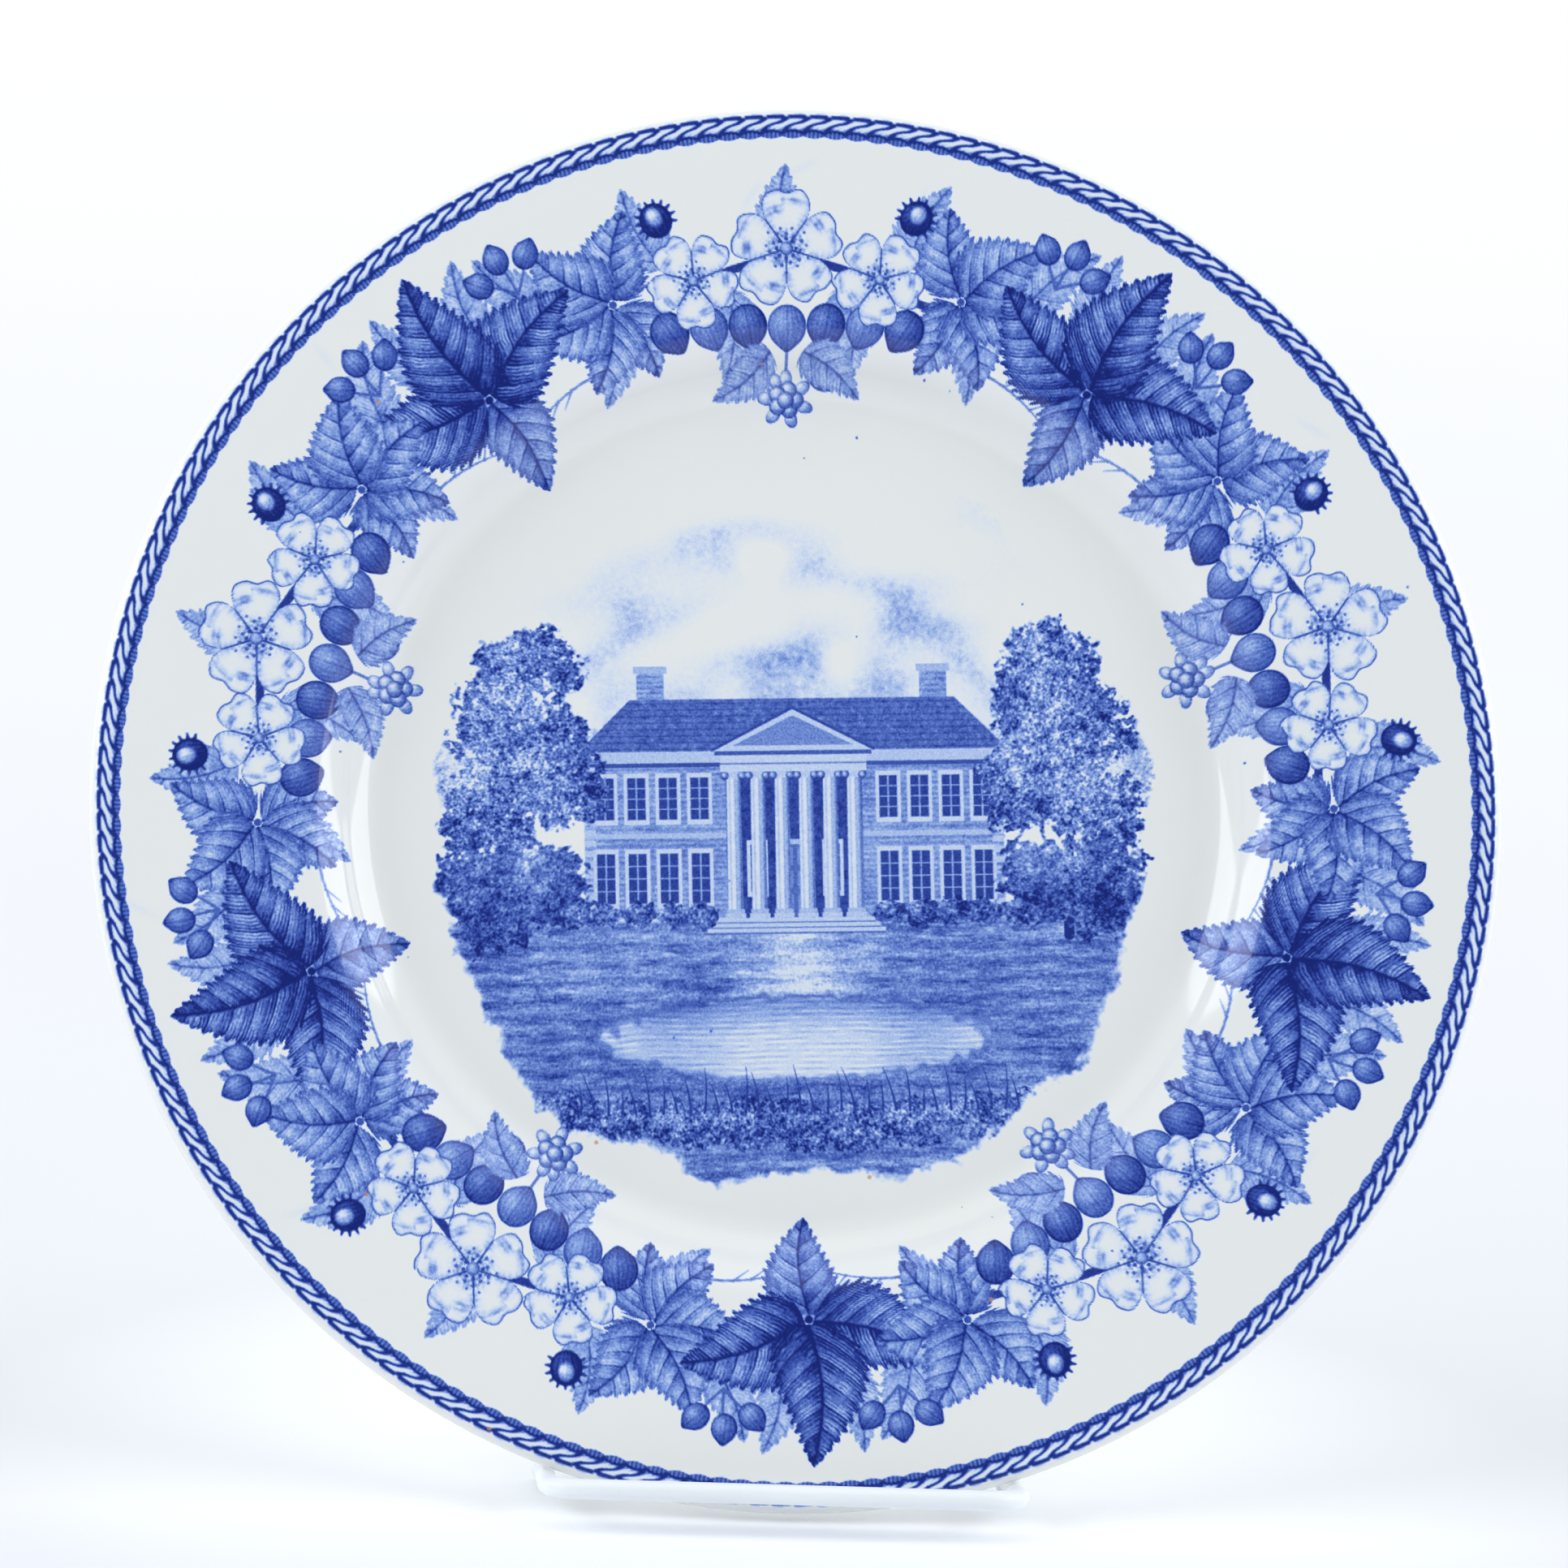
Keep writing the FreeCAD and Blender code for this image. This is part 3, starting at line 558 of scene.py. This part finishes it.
def draw_lawn():
    """Mown grass with a straight path from the steps to the pond."""
    area, X, Y = INK.patch(0, -48, 74)
    top = GROUND + 0.5 * GRAIN_MASS[area]
    path = bump(X / (7 + 0.25 * np.clip(GROUND - Y, 0, 60)), 1.0) * (Y > POND_LEVEL)
    tone = 0.56 + 0.12 * GRAIN_GRASS[area] + 0.12 * GRAIN_DOT[area] + 0.10 * GRAIN_MASS[area]
    tone += 0.08 * np.sin(Y * 1.9 + 1.5 * GRAIN_MASS[area]) - 0.34 * path
    INK.lay(area, soft(top - Y, 0.8) * (np.hypot(X, Y) < 76), np.clip(tone, 0.10, 0.95))


def draw_pond():
    """Still water with level ripples, darker under its far bank."""
    area, X, Y = INK.patch(0, POND_LEVEL, POND_HALF + 4)
    depth = (1 - np.hypot(X / POND_HALF, (Y - POND_LEVEL) / 8.0)) * 8 + 0.5 * GRAIN_LEAF[area]
    ripples = np.sin(Y * 5.5 + 1.6 * GRAIN_MASS[area]) * np.clip(0.5 + GRAIN_GRASS[area], 0, 1.2)
    far_bank = bump(Y - POND_LEVEL - 7, 4.0)
    tone = 0.14 + 0.13 * ripples + 0.30 * far_bank + 0.16 * bump((np.abs(X) - 24) / 9, 1.0)
    INK.lay(area, soft(depth, 0.8), np.clip(tone, 0.04, 0.9))
    INK.lay(area, 0.5 * bump(depth - 0.2, 0.4), 0.80)


def draw_trees():
    """Round trees beside the hall, hedges at its foot and rushes before the pond."""
    for side in (-1, 1):
        stroke(curve((side * 52, GROUND - 4), 90, 40, -8 * side), 2.0, 0.95, 0.4)
        stroke(curve((side * 52, GROUND + 8), 90 - 40 * side, 20, 10 * side), 1.1, 0.92, 0.4)
        foliage([(side * 52, 15, 14, 16), (side * 45, 5, 10, 11), (side * 57, 0, 11, 15),
                 (side * 50, 28, 11, 9)], 0.66, 0.14, 1.1, 0.36)
        foliage([(side * 48, -13, 9, 9), (side * 58, -15, 11, 10)], 0.80, 0, 0.7, 0.26)
        foliage([(side * (18 + 6 * k), GROUND + 0.5, 3.4, 2.6) for k in range(5)], 0.74, 0, 0.7, 0.30)
    for step in range(-4, 5):
        foliage([(11 * step, -60 + 0.16 * step ** 2, 8, 5)], 0.70, 0.05, 1.0, 0.34)
    for step in range(-16, 17):
        stroke(curve((2.6 * step, -57), 90 + 9 * math.sin(step * 2.0), 7 + 2 * math.cos(step * 1.7), 16), 0.5, 0.88, 0.2)


def vignette_edge():
    """Fade the picture out in an uneven circle, as such prints do."""
    area, X, Y = INK.patch(0, -1.5, SCENE_RADIUS + 9)
    angle = np.arctan2(Y + 1.5, X)
    limit = SCENE_RADIUS + 1.6 * np.sin(angle * 5 + 0.6) + 1.2 * np.sin(angle * 11 + 2.0)
    limit += 0.7 * GRAIN_LEAF[area] + 0.4 * GRAIN_FINE[area] + 1.5 * GRAIN_MASS[area]
    keep = soft(limit - np.hypot(X, Y + 1.5), 1.3)
    INK.tone[area] *= keep


def draw_picture():
    draw_sky()
    draw_lawn()
    draw_hall()
    draw_porch()
    draw_pond()
    draw_trees()
    vignette_edge()


def age_print():
    """Faint blue smudges on the rim and a few stray specks of ink, as hand-laid transfers have."""
    for _ in range(26):
        x, y = around(RANDOM.uniform(0, 360), RANDOM.uniform(96, 126))
        area, X, Y = INK.patch(x, y, 7)
        heading = RANDOM.uniform(0, 360)
        c, s = direction(heading)
        u, v = (X - x) * c + (Y - y) * s, -(X - x) * s + (Y - y) * c
        smear = 0.05 * np.exp(-(u / 3.2) ** 2 - (v / 0.8) ** 2)
        INK.tone[area] = np.clip(INK.tone[area] + smear, 0, 1)
    for _ in range(40):
        x, y = around(RANDOM.uniform(0, 360), 124 * math.sqrt(RANDOM.uniform(0.02, 1)))
        spot(x, y, RANDOM.uniform(0.1, 0.26), 0.75)


draw_picture()
draw_garland()
draw_rope()
age_print()


# ================================================================== mesh helpers

def new_object(name, mesh, body):
    piece = bpy.data.objects.new(name, mesh)
    bpy.context.scene.collection.objects.link(piece)
    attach(piece, body)
    return piece


def arc(centre, radius, start, end, steps):
    """Points of an arc of the profile, angles in degrees, without its first point."""
    angles = np.radians(np.linspace(start, end, steps + 1)[1:])
    return [(centre[0] + radius * math.cos(a), centre[1] + radius * math.sin(a)) for a in angles]


def plate_profile():
    """The plate's section: front from the middle out to the lip, then back from lip to middle."""
    inner_centre = (WELL_RADIUS, WELL_FLOOR + INNER_BEND)
    turn = (inner_centre[0] + INNER_BEND * math.sin(CAVETTO_SLOPE),
            inner_centre[1] - INNER_BEND * math.cos(CAVETTO_SLOPE))
    outer_centre = (turn[0] + OUTER_BEND * math.sin(CAVETTO_SLOPE),
                    turn[1] - OUTER_BEND * math.cos(CAVETTO_SLOPE))
    start = (outer_centre[0] - OUTER_BEND * math.sin(MARLY_SLOPE),
             outer_centre[1] + OUTER_BEND * math.cos(MARLY_SLOPE))
    lip = WALL / 2
    lip_radius = PLATE_RADIUS - lip
    end_radius = lip_radius - lip * math.sin(MARLY_SLOPE)
    end = (end_radius, start[1] + (end_radius - start[0]) * math.tan(MARLY_SLOPE))
    lip_centre = (lip_radius, end[1] - lip * math.cos(MARLY_SLOPE))
    slope, rim = math.degrees(CAVETTO_SLOPE), math.degrees(MARLY_SLOPE)

    def fine(a, b, step=MESH_STEP):
        steps = max(int(math.dist(a, b) / step), 1)
        return [(a[0] + (b[0] - a[0]) * k / steps, a[1] + (b[1] - a[1]) * k / steps)
                for k in range(1, steps + 1)]

    def on_rim(radius):
        return (radius, start[1] + (radius - start[0]) * math.tan(MARLY_SLOPE))

    picture = (SCENE_RADIUS + 3, WELL_FLOOR)
    front = [(0.3, WELL_FLOOR)] + fine((0.3, WELL_FLOOR), picture, PICTURE_STEP)
    front += fine(picture, (WELL_RADIUS, WELL_FLOOR))
    front += arc(inner_centre, INNER_BEND, -90, slope - 90, 32)
    front += arc(outer_centre, OUTER_BEND, 90 + slope, 90 + rim, 32)
    rope_start, rope_end = on_rim(ROPE_INNER - 0.8), end
    front += fine(start, rope_start) + fine(rope_start, rope_end, PICTURE_STEP)
    front += arc(lip_centre, lip, 90 + rim, 0, 9)
    back_outer, back_inner = OUTER_BEND - WALL, INNER_BEND + WALL
    reach = RING_OUTER - WELL_RADIUS
    foot_angle = -math.degrees(math.acos(reach / back_inner))
    back = arc(lip_centre, lip, 0, rim - 90, 8)
    under_end = back[-1]
    under_start = (outer_centre[0] - back_outer * math.sin(MARLY_SLOPE),
                   outer_centre[1] + back_outer * math.cos(MARLY_SLOPE))
    back += [(under_end[0] + (under_start[0] - under_end[0]) * k / 8,
              under_end[1] + (under_start[1] - under_end[1]) * k / 8) for k in range(1, 9)]
    back += arc(outer_centre, back_outer, 90 + rim, 90 + slope, 10)
    back += arc(inner_centre, back_inner, slope - 90, foot_angle, 10)
    back += [(RING_OUTER, RING_EDGE + 0.8), (RING_OUTER, RING_EDGE)]
    back += arc((RING_OUTER - RING_EDGE, RING_EDGE), RING_EDGE, 0, -90, 6)
    back += arc((RING_INNER + RING_EDGE, RING_EDGE), RING_EDGE, -90, -180, 6)
    back += [(RING_INNER, BASE_RECESS - 0.5), (RING_INNER - 0.15, BASE_RECESS - 0.15),
             (RING_INNER - 0.5, BASE_RECESS)]
    back += [(RING_INNER * k / 6, BASE_RECESS) for k in range(5, 0, -1)]
    return front, back


def ring_count(radius, spacing):
    """Points in a ring: 13 doubled until they are no further apart than the spacing."""
    count = 13
    while TAU * radius / count > spacing:
        count *= 2
    return count


def build_plate():
    front, back = plate_profile()
    profile = front + back
    counts = []
    for radius, _ in front:
        crisp = radius < SCENE_RADIUS + 3 or radius > ROPE_INNER - 0.8
        counts.append(ring_count(radius, PICTURE_STEP if crisp else MESH_STEP))
    # the back halves its rings on the way in, because nothing is printed there
    for radius, _ in back:
        counts.append(max(counts[-1] // 2, min(ring_count(radius, 1.3), 832)))
    vertices, starts = [], []
    total = 0
    for (radius, height), count in zip(profile, counts):
        turn = np.arange(count) / count * TAU
        ring = np.stack([radius * np.cos(turn), radius * np.sin(turn), np.full(count, height)], 1)
        vertices.append(ring)
        starts.append(total)
        total += count
    vertices.append(np.array([[0, 0, WELL_FLOOR], [0, 0, BASE_RECESS]]))
    quads, triangles = [], []
    for index in range(len(profile) - 1):
        a, b, na, nb = starts[index], starts[index + 1], counts[index], counts[index + 1]
        i = np.arange(min(na, nb))
        j = (i + 1) % min(na, nb)
        if na == nb:
            quads.append(np.stack([a + i, b + i, b + j, a + j], 1))
        elif nb == 2 * na:
            triangles.append(np.stack([a + i, b + 2 * i, b + 2 * i + 1], 1))
            triangles.append(np.stack([a + i, b + 2 * i + 1, a + j], 1))
            triangles.append(np.stack([a + j, b + 2 * i + 1, b + (2 * i + 2) % nb], 1))
        else:
            triangles.append(np.stack([b + i, a + 2 * i + 1, a + 2 * i], 1))
            triangles.append(np.stack([b + i, b + j, a + 2 * i + 1], 1))
            triangles.append(np.stack([b + j, a + (2 * i + 2) % na, a + 2 * i + 1], 1))
    first, last = np.arange(counts[0]), np.arange(counts[-1])
    triangles.append(np.stack([np.full(counts[0], total), first, (first + 1) % counts[0]], 1))
    base = starts[-1]
    triangles.append(np.stack([np.full(counts[-1], total + 1),
                               base + (last + 1) % counts[-1], base + last], 1))
    local = np.concatenate(vertices)
    quads, triangles = np.concatenate(quads), np.concatenate(triangles)

    axes = np.array([ACROSS, UP, OUT])
    world = local @ axes * MM + np.array(CENTRE)
    mesh = bpy.data.meshes.new("plate_glazed")
    corners = np.concatenate([quads.ravel(), triangles.ravel()])
    totals = np.concatenate([np.full(len(quads), 4), np.full(len(triangles), 3)])
    mesh.vertices.add(len(world))
    mesh.loops.add(len(corners))
    mesh.polygons.add(len(totals))
    mesh.vertices.foreach_set("co", world.ravel().astype(np.float32))
    mesh.loops.foreach_set("vertex_index", corners.astype(np.int32))
    mesh.polygons.foreach_set("loop_start", np.concatenate([[0], np.cumsum(totals)[:-1]]).astype(np.int32))
    mesh.update(calc_edges=True)
    mesh.polygons.foreach_set("use_smooth", np.ones(len(totals), bool))

    face_count = sum(counts[:len(front)])
    printed = np.zeros(len(world), np.float32)
    c, s = math.cos(PRINT_TURN), math.sin(PRINT_TURN)
    x, y = local[:face_count, 0], local[:face_count, 1]
    printed[:face_count] = INK.read(x * c + y * s, y * c - x * s)
    printed[total] = INK.read([0.0], [0.0])[0]
    printed[local[:, 0] ** 2 + local[:, 1] ** 2 > (ROPE_OUTER + 0.6) ** 2] = 0
    mesh.attributes.new("ink", "FLOAT", "POINT").data.foreach_set("value", printed)
    is_back = np.ones(len(world), np.float32)
    is_back[:face_count] = 0
    is_back[total] = 0

    # the foot ring stands on its unglazed edge
    foot = (local[:, 2] < 0.2) * (is_back > 0)
    mesh.attributes.new("bare", "FLOAT", "POINT").data.foreach_set("value", foot.astype(np.float32))

    # flat maps for the export: the face large, the underside small in a corner
    flat = local[:, :2] / PLATE_RADIUS
    uv = np.where(is_back[:, None] > 0, flat * 0.135 + (0.855, 0.145), flat * 0.43 + (0.437, 0.563))
    layer = mesh.uv_layers.new(name="OFBake")
    layer.data.foreach_set("uv", uv[corners].astype(np.float32).ravel())
    mesh.update()
    return mesh


# ================================================================== materials

def srgb(red, green, blue):
    return tuple((c / 255 / 12.92) if c / 255 <= 0.04045 else ((c / 255 + 0.055) / 1.055) ** 2.4
                 for c in (red, green, blue)) + (1.0,)


class Nodes:
    """A short way to write a material's node tree."""

    def __init__(self, name):
        self.material = bpy.data.materials.new(name)
        self.material.use_nodes = True
        self.tree = self.material.node_tree
        self.shader = self.tree.nodes["Principled BSDF"]

    def add(self, kind, inputs=None, **settings):
        node = self.tree.nodes.new(kind)
        for key, value in settings.items():
            setattr(node, key, value)
        for key, value in (inputs or {}).items():
            if isinstance(value, bpy.types.NodeSocket):
                self.tree.links.new(value, node.inputs[key])
            else:
                node.inputs[key].default_value = value
        return node

    def math(self, operation, a, b, clamp=False):
        return self.add("ShaderNodeMath", {0: a, 1: b}, operation=operation, use_clamp=clamp).outputs[0]

    def noise(self, scale, detail=2.0, rough=0.5):
        place = self.add("ShaderNodeTexCoord").outputs["Object"]
        return self.add("ShaderNodeTexNoise", {"Vector": place, "Scale": scale, "Detail": detail,
                                               "Roughness": rough}).outputs["Fac"]

    def ramp(self, factor, stops, smooth=False):
        node = self.add("ShaderNodeValToRGB", {"Fac": factor})
        node.color_ramp.interpolation = "EASE" if smooth else "LINEAR"
        elements = node.color_ramp.elements
        while len(elements) < len(stops):
            elements.new(0.5)
        for element, (position, colour) in zip(elements, stops):
            element.position = position
            element.color = colour
        return node.outputs["Color"]

    def mix(self, factor, a, b, blend="MIX"):
        node = self.add("ShaderNodeMix", data_type="RGBA", blend_type=blend)
        for key, value in ((0, factor), (6, a), (7, b)):
            if isinstance(value, bpy.types.NodeSocket):
                self.tree.links.new(value, node.inputs[key])
            else:
                node.inputs[key].default_value = value
        return node.outputs[2]

    def bump(self, height, distance, strength=1.0, normal=None):
        inputs = {"Height": height, "Distance": distance, "Strength": strength}
        if normal is not None:
            inputs["Normal"] = normal
        return self.add("ShaderNodeBump", inputs).outputs["Normal"]

    def set(self, **values):
        for key, value in values.items():
            socket = self.shader.inputs[key.replace("_", " ")]
            if isinstance(value, bpy.types.NodeSocket):
                self.tree.links.new(value, socket)
            else:
                socket.default_value = value
        return self.material


def glazed_material():
    """Cool cream-white glaze over a cobalt underglaze print, with a clear glassy surface."""
    n = Nodes("glazed_earthenware")
    ink = n.add("ShaderNodeAttribute", attribute_name="ink").outputs["Fac"]
    # engraved grain: the middle tones break into fine specks
    grain = n.math("SUBTRACT", n.noise(2600, 1.0), 0.5)
    middle = n.math("MULTIPLY", n.math("MULTIPLY", ink, n.math("SUBTRACT", 1.05, ink)), 1.5)
    worked = n.math("ADD", ink, n.math("MULTIPLY", grain, middle), clamp=True)
    cobalt = n.ramp(worked, [
        (0.0, srgb(228, 231, 230)), (0.10, srgb(212, 222, 236)), (0.25, srgb(172, 193, 231)),
        (0.42, srgb(128, 157, 219)), (0.60, srgb(88, 116, 194)), (0.76, srgb(58, 84, 170)),
        (0.90, srgb(36, 56, 143)), (1.0, srgb(18, 34, 112)),
    ])
    warm = n.mix(n.math("MULTIPLY", n.noise(9, 3.0), 0.55), (1, 1, 1, 1), (1.0, 0.985, 0.955, 1))
    body = n.mix(1.0, cobalt, warm, "MULTIPLY")
    # a few rust specks where iron in the clay came through
    place = n.add("ShaderNodeTexCoord").outputs["Object"]
    nearest = n.add("ShaderNodeTexVoronoi", {"Vector": place, "Scale": 55.0}).outputs["Distance"]
    rust = n.math("MULTIPLY", n.math("LESS_THAN", nearest, 0.022), 0.7)
    colour = n.mix(rust, body, srgb(196, 128, 62))
    bare = n.add("ShaderNodeAttribute", attribute_name="bare").outputs["Fac"]
    clay = n.mix(n.noise(1500, 3.0), srgb(186, 170, 142), srgb(214, 202, 178))
    colour = n.mix(bare, colour, clay)
    ripple = n.bump(n.noise(42, 1.0), 0.00022, 0.5)
    skin = n.bump(n.noise(900, 2.0), 0.000004, 0.6, ripple)
    rough = n.math("ADD", n.math("MULTIPLY", n.noise(25, 2.0), 0.05), 0.06)
    rough = n.math("ADD", rough, n.math("MULTIPLY", bare, 0.7))
    return n.set(Base_Color=colour, Roughness=rough, Normal=skin, IOR=1.5, Coat_Weight=0.0)


def vinyl_material():
    """Dipped white vinyl: slightly uneven, softly shining, a little greyer in places."""
    n = Nodes("white_vinyl")
    tone = n.mix(n.noise(60, 3.0), srgb(228, 234, 239), srgb(240, 244, 246))
    scuff = n.ramp(n.noise(700, 2.0), [(0.0, (0, 0, 0, 1)), (0.70, (0, 0, 0, 1)), (0.78, (1, 1, 1, 1))])
    tone = n.mix(n.math("MULTIPLY", scuff, 0.06), tone, srgb(168, 172, 174))
    drips = n.bump(n.noise(45, 1.0), 0.0001, 0.12)
    skin = n.bump(n.noise(2400, 2.0), 0.00001, 0.2, drips)
    rough = n.math("ADD", n.math("MULTIPLY", n.noise(200, 2.0), 0.10), 0.26)
    return n.set(Base_Color=tone, Roughness=rough, Normal=skin, IOR=1.48,
                 Subsurface_Weight=0.0)


def steel_material(name, bright, dark, roughness):
    n = Nodes(name)
    place = n.add("ShaderNodeTexCoord").outputs["Object"]
    drawn = n.add("ShaderNodeMapping", {"Vector": place, "Scale": (60, 2600, 2600)}).outputs[0]
    lines = n.add("ShaderNodeTexNoise", {"Vector": drawn, "Scale": 1.0, "Detail": 3.0}).outputs["Fac"]
    tone = n.mix(lines, dark, bright)
    rough = n.math("ADD", n.math("MULTIPLY", lines, 0.2), roughness)
    return n.set(Base_Color=tone, Metallic=1.0, Roughness=rough, Normal=n.bump(lines, 0.00003, 0.5))


def nylon_material():
    n = Nodes("cap_nylon")
    tone = n.mix(n.noise(300, 3.0), srgb(222, 224, 222), srgb(236, 237, 235))
    return n.set(Base_Color=tone, Roughness=n.math("ADD", n.math("MULTIPLY", n.noise(900), 0.15), 0.42),
                 Normal=n.bump(n.noise(1800, 2.0), 0.00003, 0.4))


def dress_cad_nodes():
    """Give the CAD nodes that stay their finished materials."""
    finishes = {
        "white_vinyl": vinyl_material(),
        "steel_wire": steel_material("steel_wire", (0.56, 0.55, 0.54, 1), (0.36, 0.35, 0.34, 1), 0.28),
        "zinc_steel": steel_material("zinc_steel", (0.78, 0.79, 0.80, 1), (0.55, 0.56, 0.58, 1), 0.22),
        "cap_nylon": nylon_material(),
    }
    for part in frame["record"]["subparts"]:
        if part["material_slot"] in finishes:
            node = frame["nodes"][part["node"]]
            for slot in node.material_slots:
                slot.material = finishes[part["material_slot"]]


# ================================================================== the object

plate = new_object("plate_glazed", build_plate(), "plate")
plate.data.materials.append(glazed_material())
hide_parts("plate")
dress_cad_nodes()


# ================================================================== studio

def stage_floor():
    mesh = bpy.data.meshes.new("studio_floor")
    rings = [(0.0, 0.0)] + [(0.25 * 1.6 ** k, 0.0) for k in range(10)]
    vertices, faces = [(0, 0, 0)], []
    for radius, _ in rings[1:]:
        vertices += [(radius * math.cos(TAU * k / 64), radius * math.sin(TAU * k / 64), 0) for k in range(64)]
    faces += [(0, 1 + k, 1 + (k + 1) % 64) for k in range(64)]
    for ring in range(len(rings) - 2):
        a, b = 1 + ring * 64, 1 + (ring + 1) * 64
        faces += [(a + k, b + k, b + (k + 1) % 64, a + (k + 1) % 64) for k in range(64)]
    mesh.from_pydata(vertices, [], faces)
    floor = bpy.data.objects.new("studio_floor", mesh)
    bpy.context.scene.collection.objects.link(floor)
    n = Nodes("floor_with_painted_light")
    away = n.add("ShaderNodeVectorMath", {0: n.add("ShaderNodeTexCoord").outputs["Object"]}, operation="LENGTH")
    # Painted light and shade on the floor: its colour is painted lighter right round where the object stands,
    # which lifts the object's shadow. It darkens from about 0.07 m out to a painted shade between about 0.16 and
    # 0.28 m, then grows lighter again towards 2 m away.
    painted_light_and_shade = n.ramp(n.math("MULTIPLY", away.outputs["Value"], 0.5),
                   [(0.0, srgb(249, 250, 252)), (0.035, srgb(244, 246, 249)), (0.08, srgb(219, 221, 226)),
                    (0.14, srgb(221, 223, 228)), (0.45, srgb(240, 241, 244)), (1.0, srgb(250, 250, 251))])
    tone = n.mix(n.math("MULTIPLY", n.noise(3.0, 2.0), 0.12), painted_light_and_shade, srgb(246, 248, 251))
    mesh.materials.append(n.set(Base_Color=tone, Roughness=0.9, Specular_IOR_Level=0.15))


def softbox(name, place, aim, width, height, power):
    """A soft rectangular light at a place, turned to face another."""
    lamp = bpy.data.lights.new(name, "AREA")
    lamp.shape = "RECTANGLE"
    lamp.size, lamp.size_y = width, height
    lamp.energy = power
    lamp.color = (0.94, 0.97, 1.0)
    light = bpy.data.objects.new(name, lamp)
    light.location = place
    light.rotation_mode = "QUATERNION"
    light.rotation_quaternion = (place - aim).to_track_quat("Z", "Y")
    bpy.context.scene.collection.objects.link(light)


def beside_plate(azimuth, elevation, distance):
    """A place seen from the plate. Azimuth 0 is in front of it, + to the right."""
    a, e = math.radians(azimuth), math.radians(elevation)
    way = Vector((math.sin(a) * math.cos(e), -math.cos(a) * math.cos(e), math.sin(e)))
    return CENTRE + way * distance


def light_studio():
    world = bpy.data.worlds.new("studio")
    bpy.context.scene.world = world
    world.use_nodes = True
    background = world.node_tree.nodes["Background"]
    background.inputs["Color"].default_value = (0.97, 0.985, 1.0, 1)
    # the room is bright except behind the camera, which keeps the deep blues deep
    tree = world.node_tree
    place = tree.nodes.new("ShaderNodeTexCoord")
    facing = tree.nodes.new("ShaderNodeVectorMath")
    facing.operation = "DOT_PRODUCT"
    facing.inputs[1].default_value = (0.0, -0.906, 0.423)
    fade = tree.nodes.new("ShaderNodeMapRange")
    fade.interpolation_type = "SMOOTHSTEP"
    for key, value in ((1, 0.66), (2, 0.95), (3, 1.13), (4, 0.10)):
        fade.inputs[key].default_value = value
    tree.links.new(place.outputs["Generated"], facing.inputs[0])
    tree.links.new(facing.outputs["Value"], fade.inputs[0])
    tree.links.new(fade.outputs[0], background.inputs["Strength"])
    softbox("softbox_left", beside_plate(-66, 27, 1.1), CENTRE, 0.95, 0.42, 4.4)
    softbox("softbox_right", beside_plate(70, 24, 1.1), CENTRE, 0.95, 0.42, 4.4)
    softbox("backdrop_light", Vector((0, 3.6, 2.4)), Vector((0, 3.6, 0)), 4.0, 2.4, 11)


def place_camera():
    """The photograph's view: a long lens, a little below the plate's own normal."""
    azimuth, elevation, roll = map(math.radians, (-3.85, 10.57, 2.68))
    distance, focal_length, sensor = 1.6, 192.28, 36     # metres, then millimetres
    away = Vector((math.sin(azimuth) * math.cos(elevation), -math.cos(azimuth) * math.cos(elevation),
                   math.sin(elevation)))
    right = Vector((math.cos(azimuth), math.sin(azimuth), 0))
    up = away.cross(right)
    target = CENTRE + right * (-1.76 * MM) + up * (6.30 * MM)
    tilted_right = right * math.cos(roll) + up * math.sin(roll)
    tilted_up = up * math.cos(roll) - right * math.sin(roll)
    camera = bpy.data.objects.new("camera", bpy.data.cameras.new("camera"))
    camera.data.sensor_width = sensor
    camera.data.lens = focal_length
    camera.data.clip_start, camera.data.clip_end = 0.05, 60
    turn = Matrix((tilted_right, tilted_up, away)).transposed().to_4x4()
    camera.matrix_world = Matrix.Translation(target + away * distance) @ turn
    bpy.context.scene.collection.objects.link(camera)
    bpy.context.scene.camera = camera


stage_floor()
light_studio()
place_camera()
bpy.context.scene.view_settings.view_transform = "Standard"
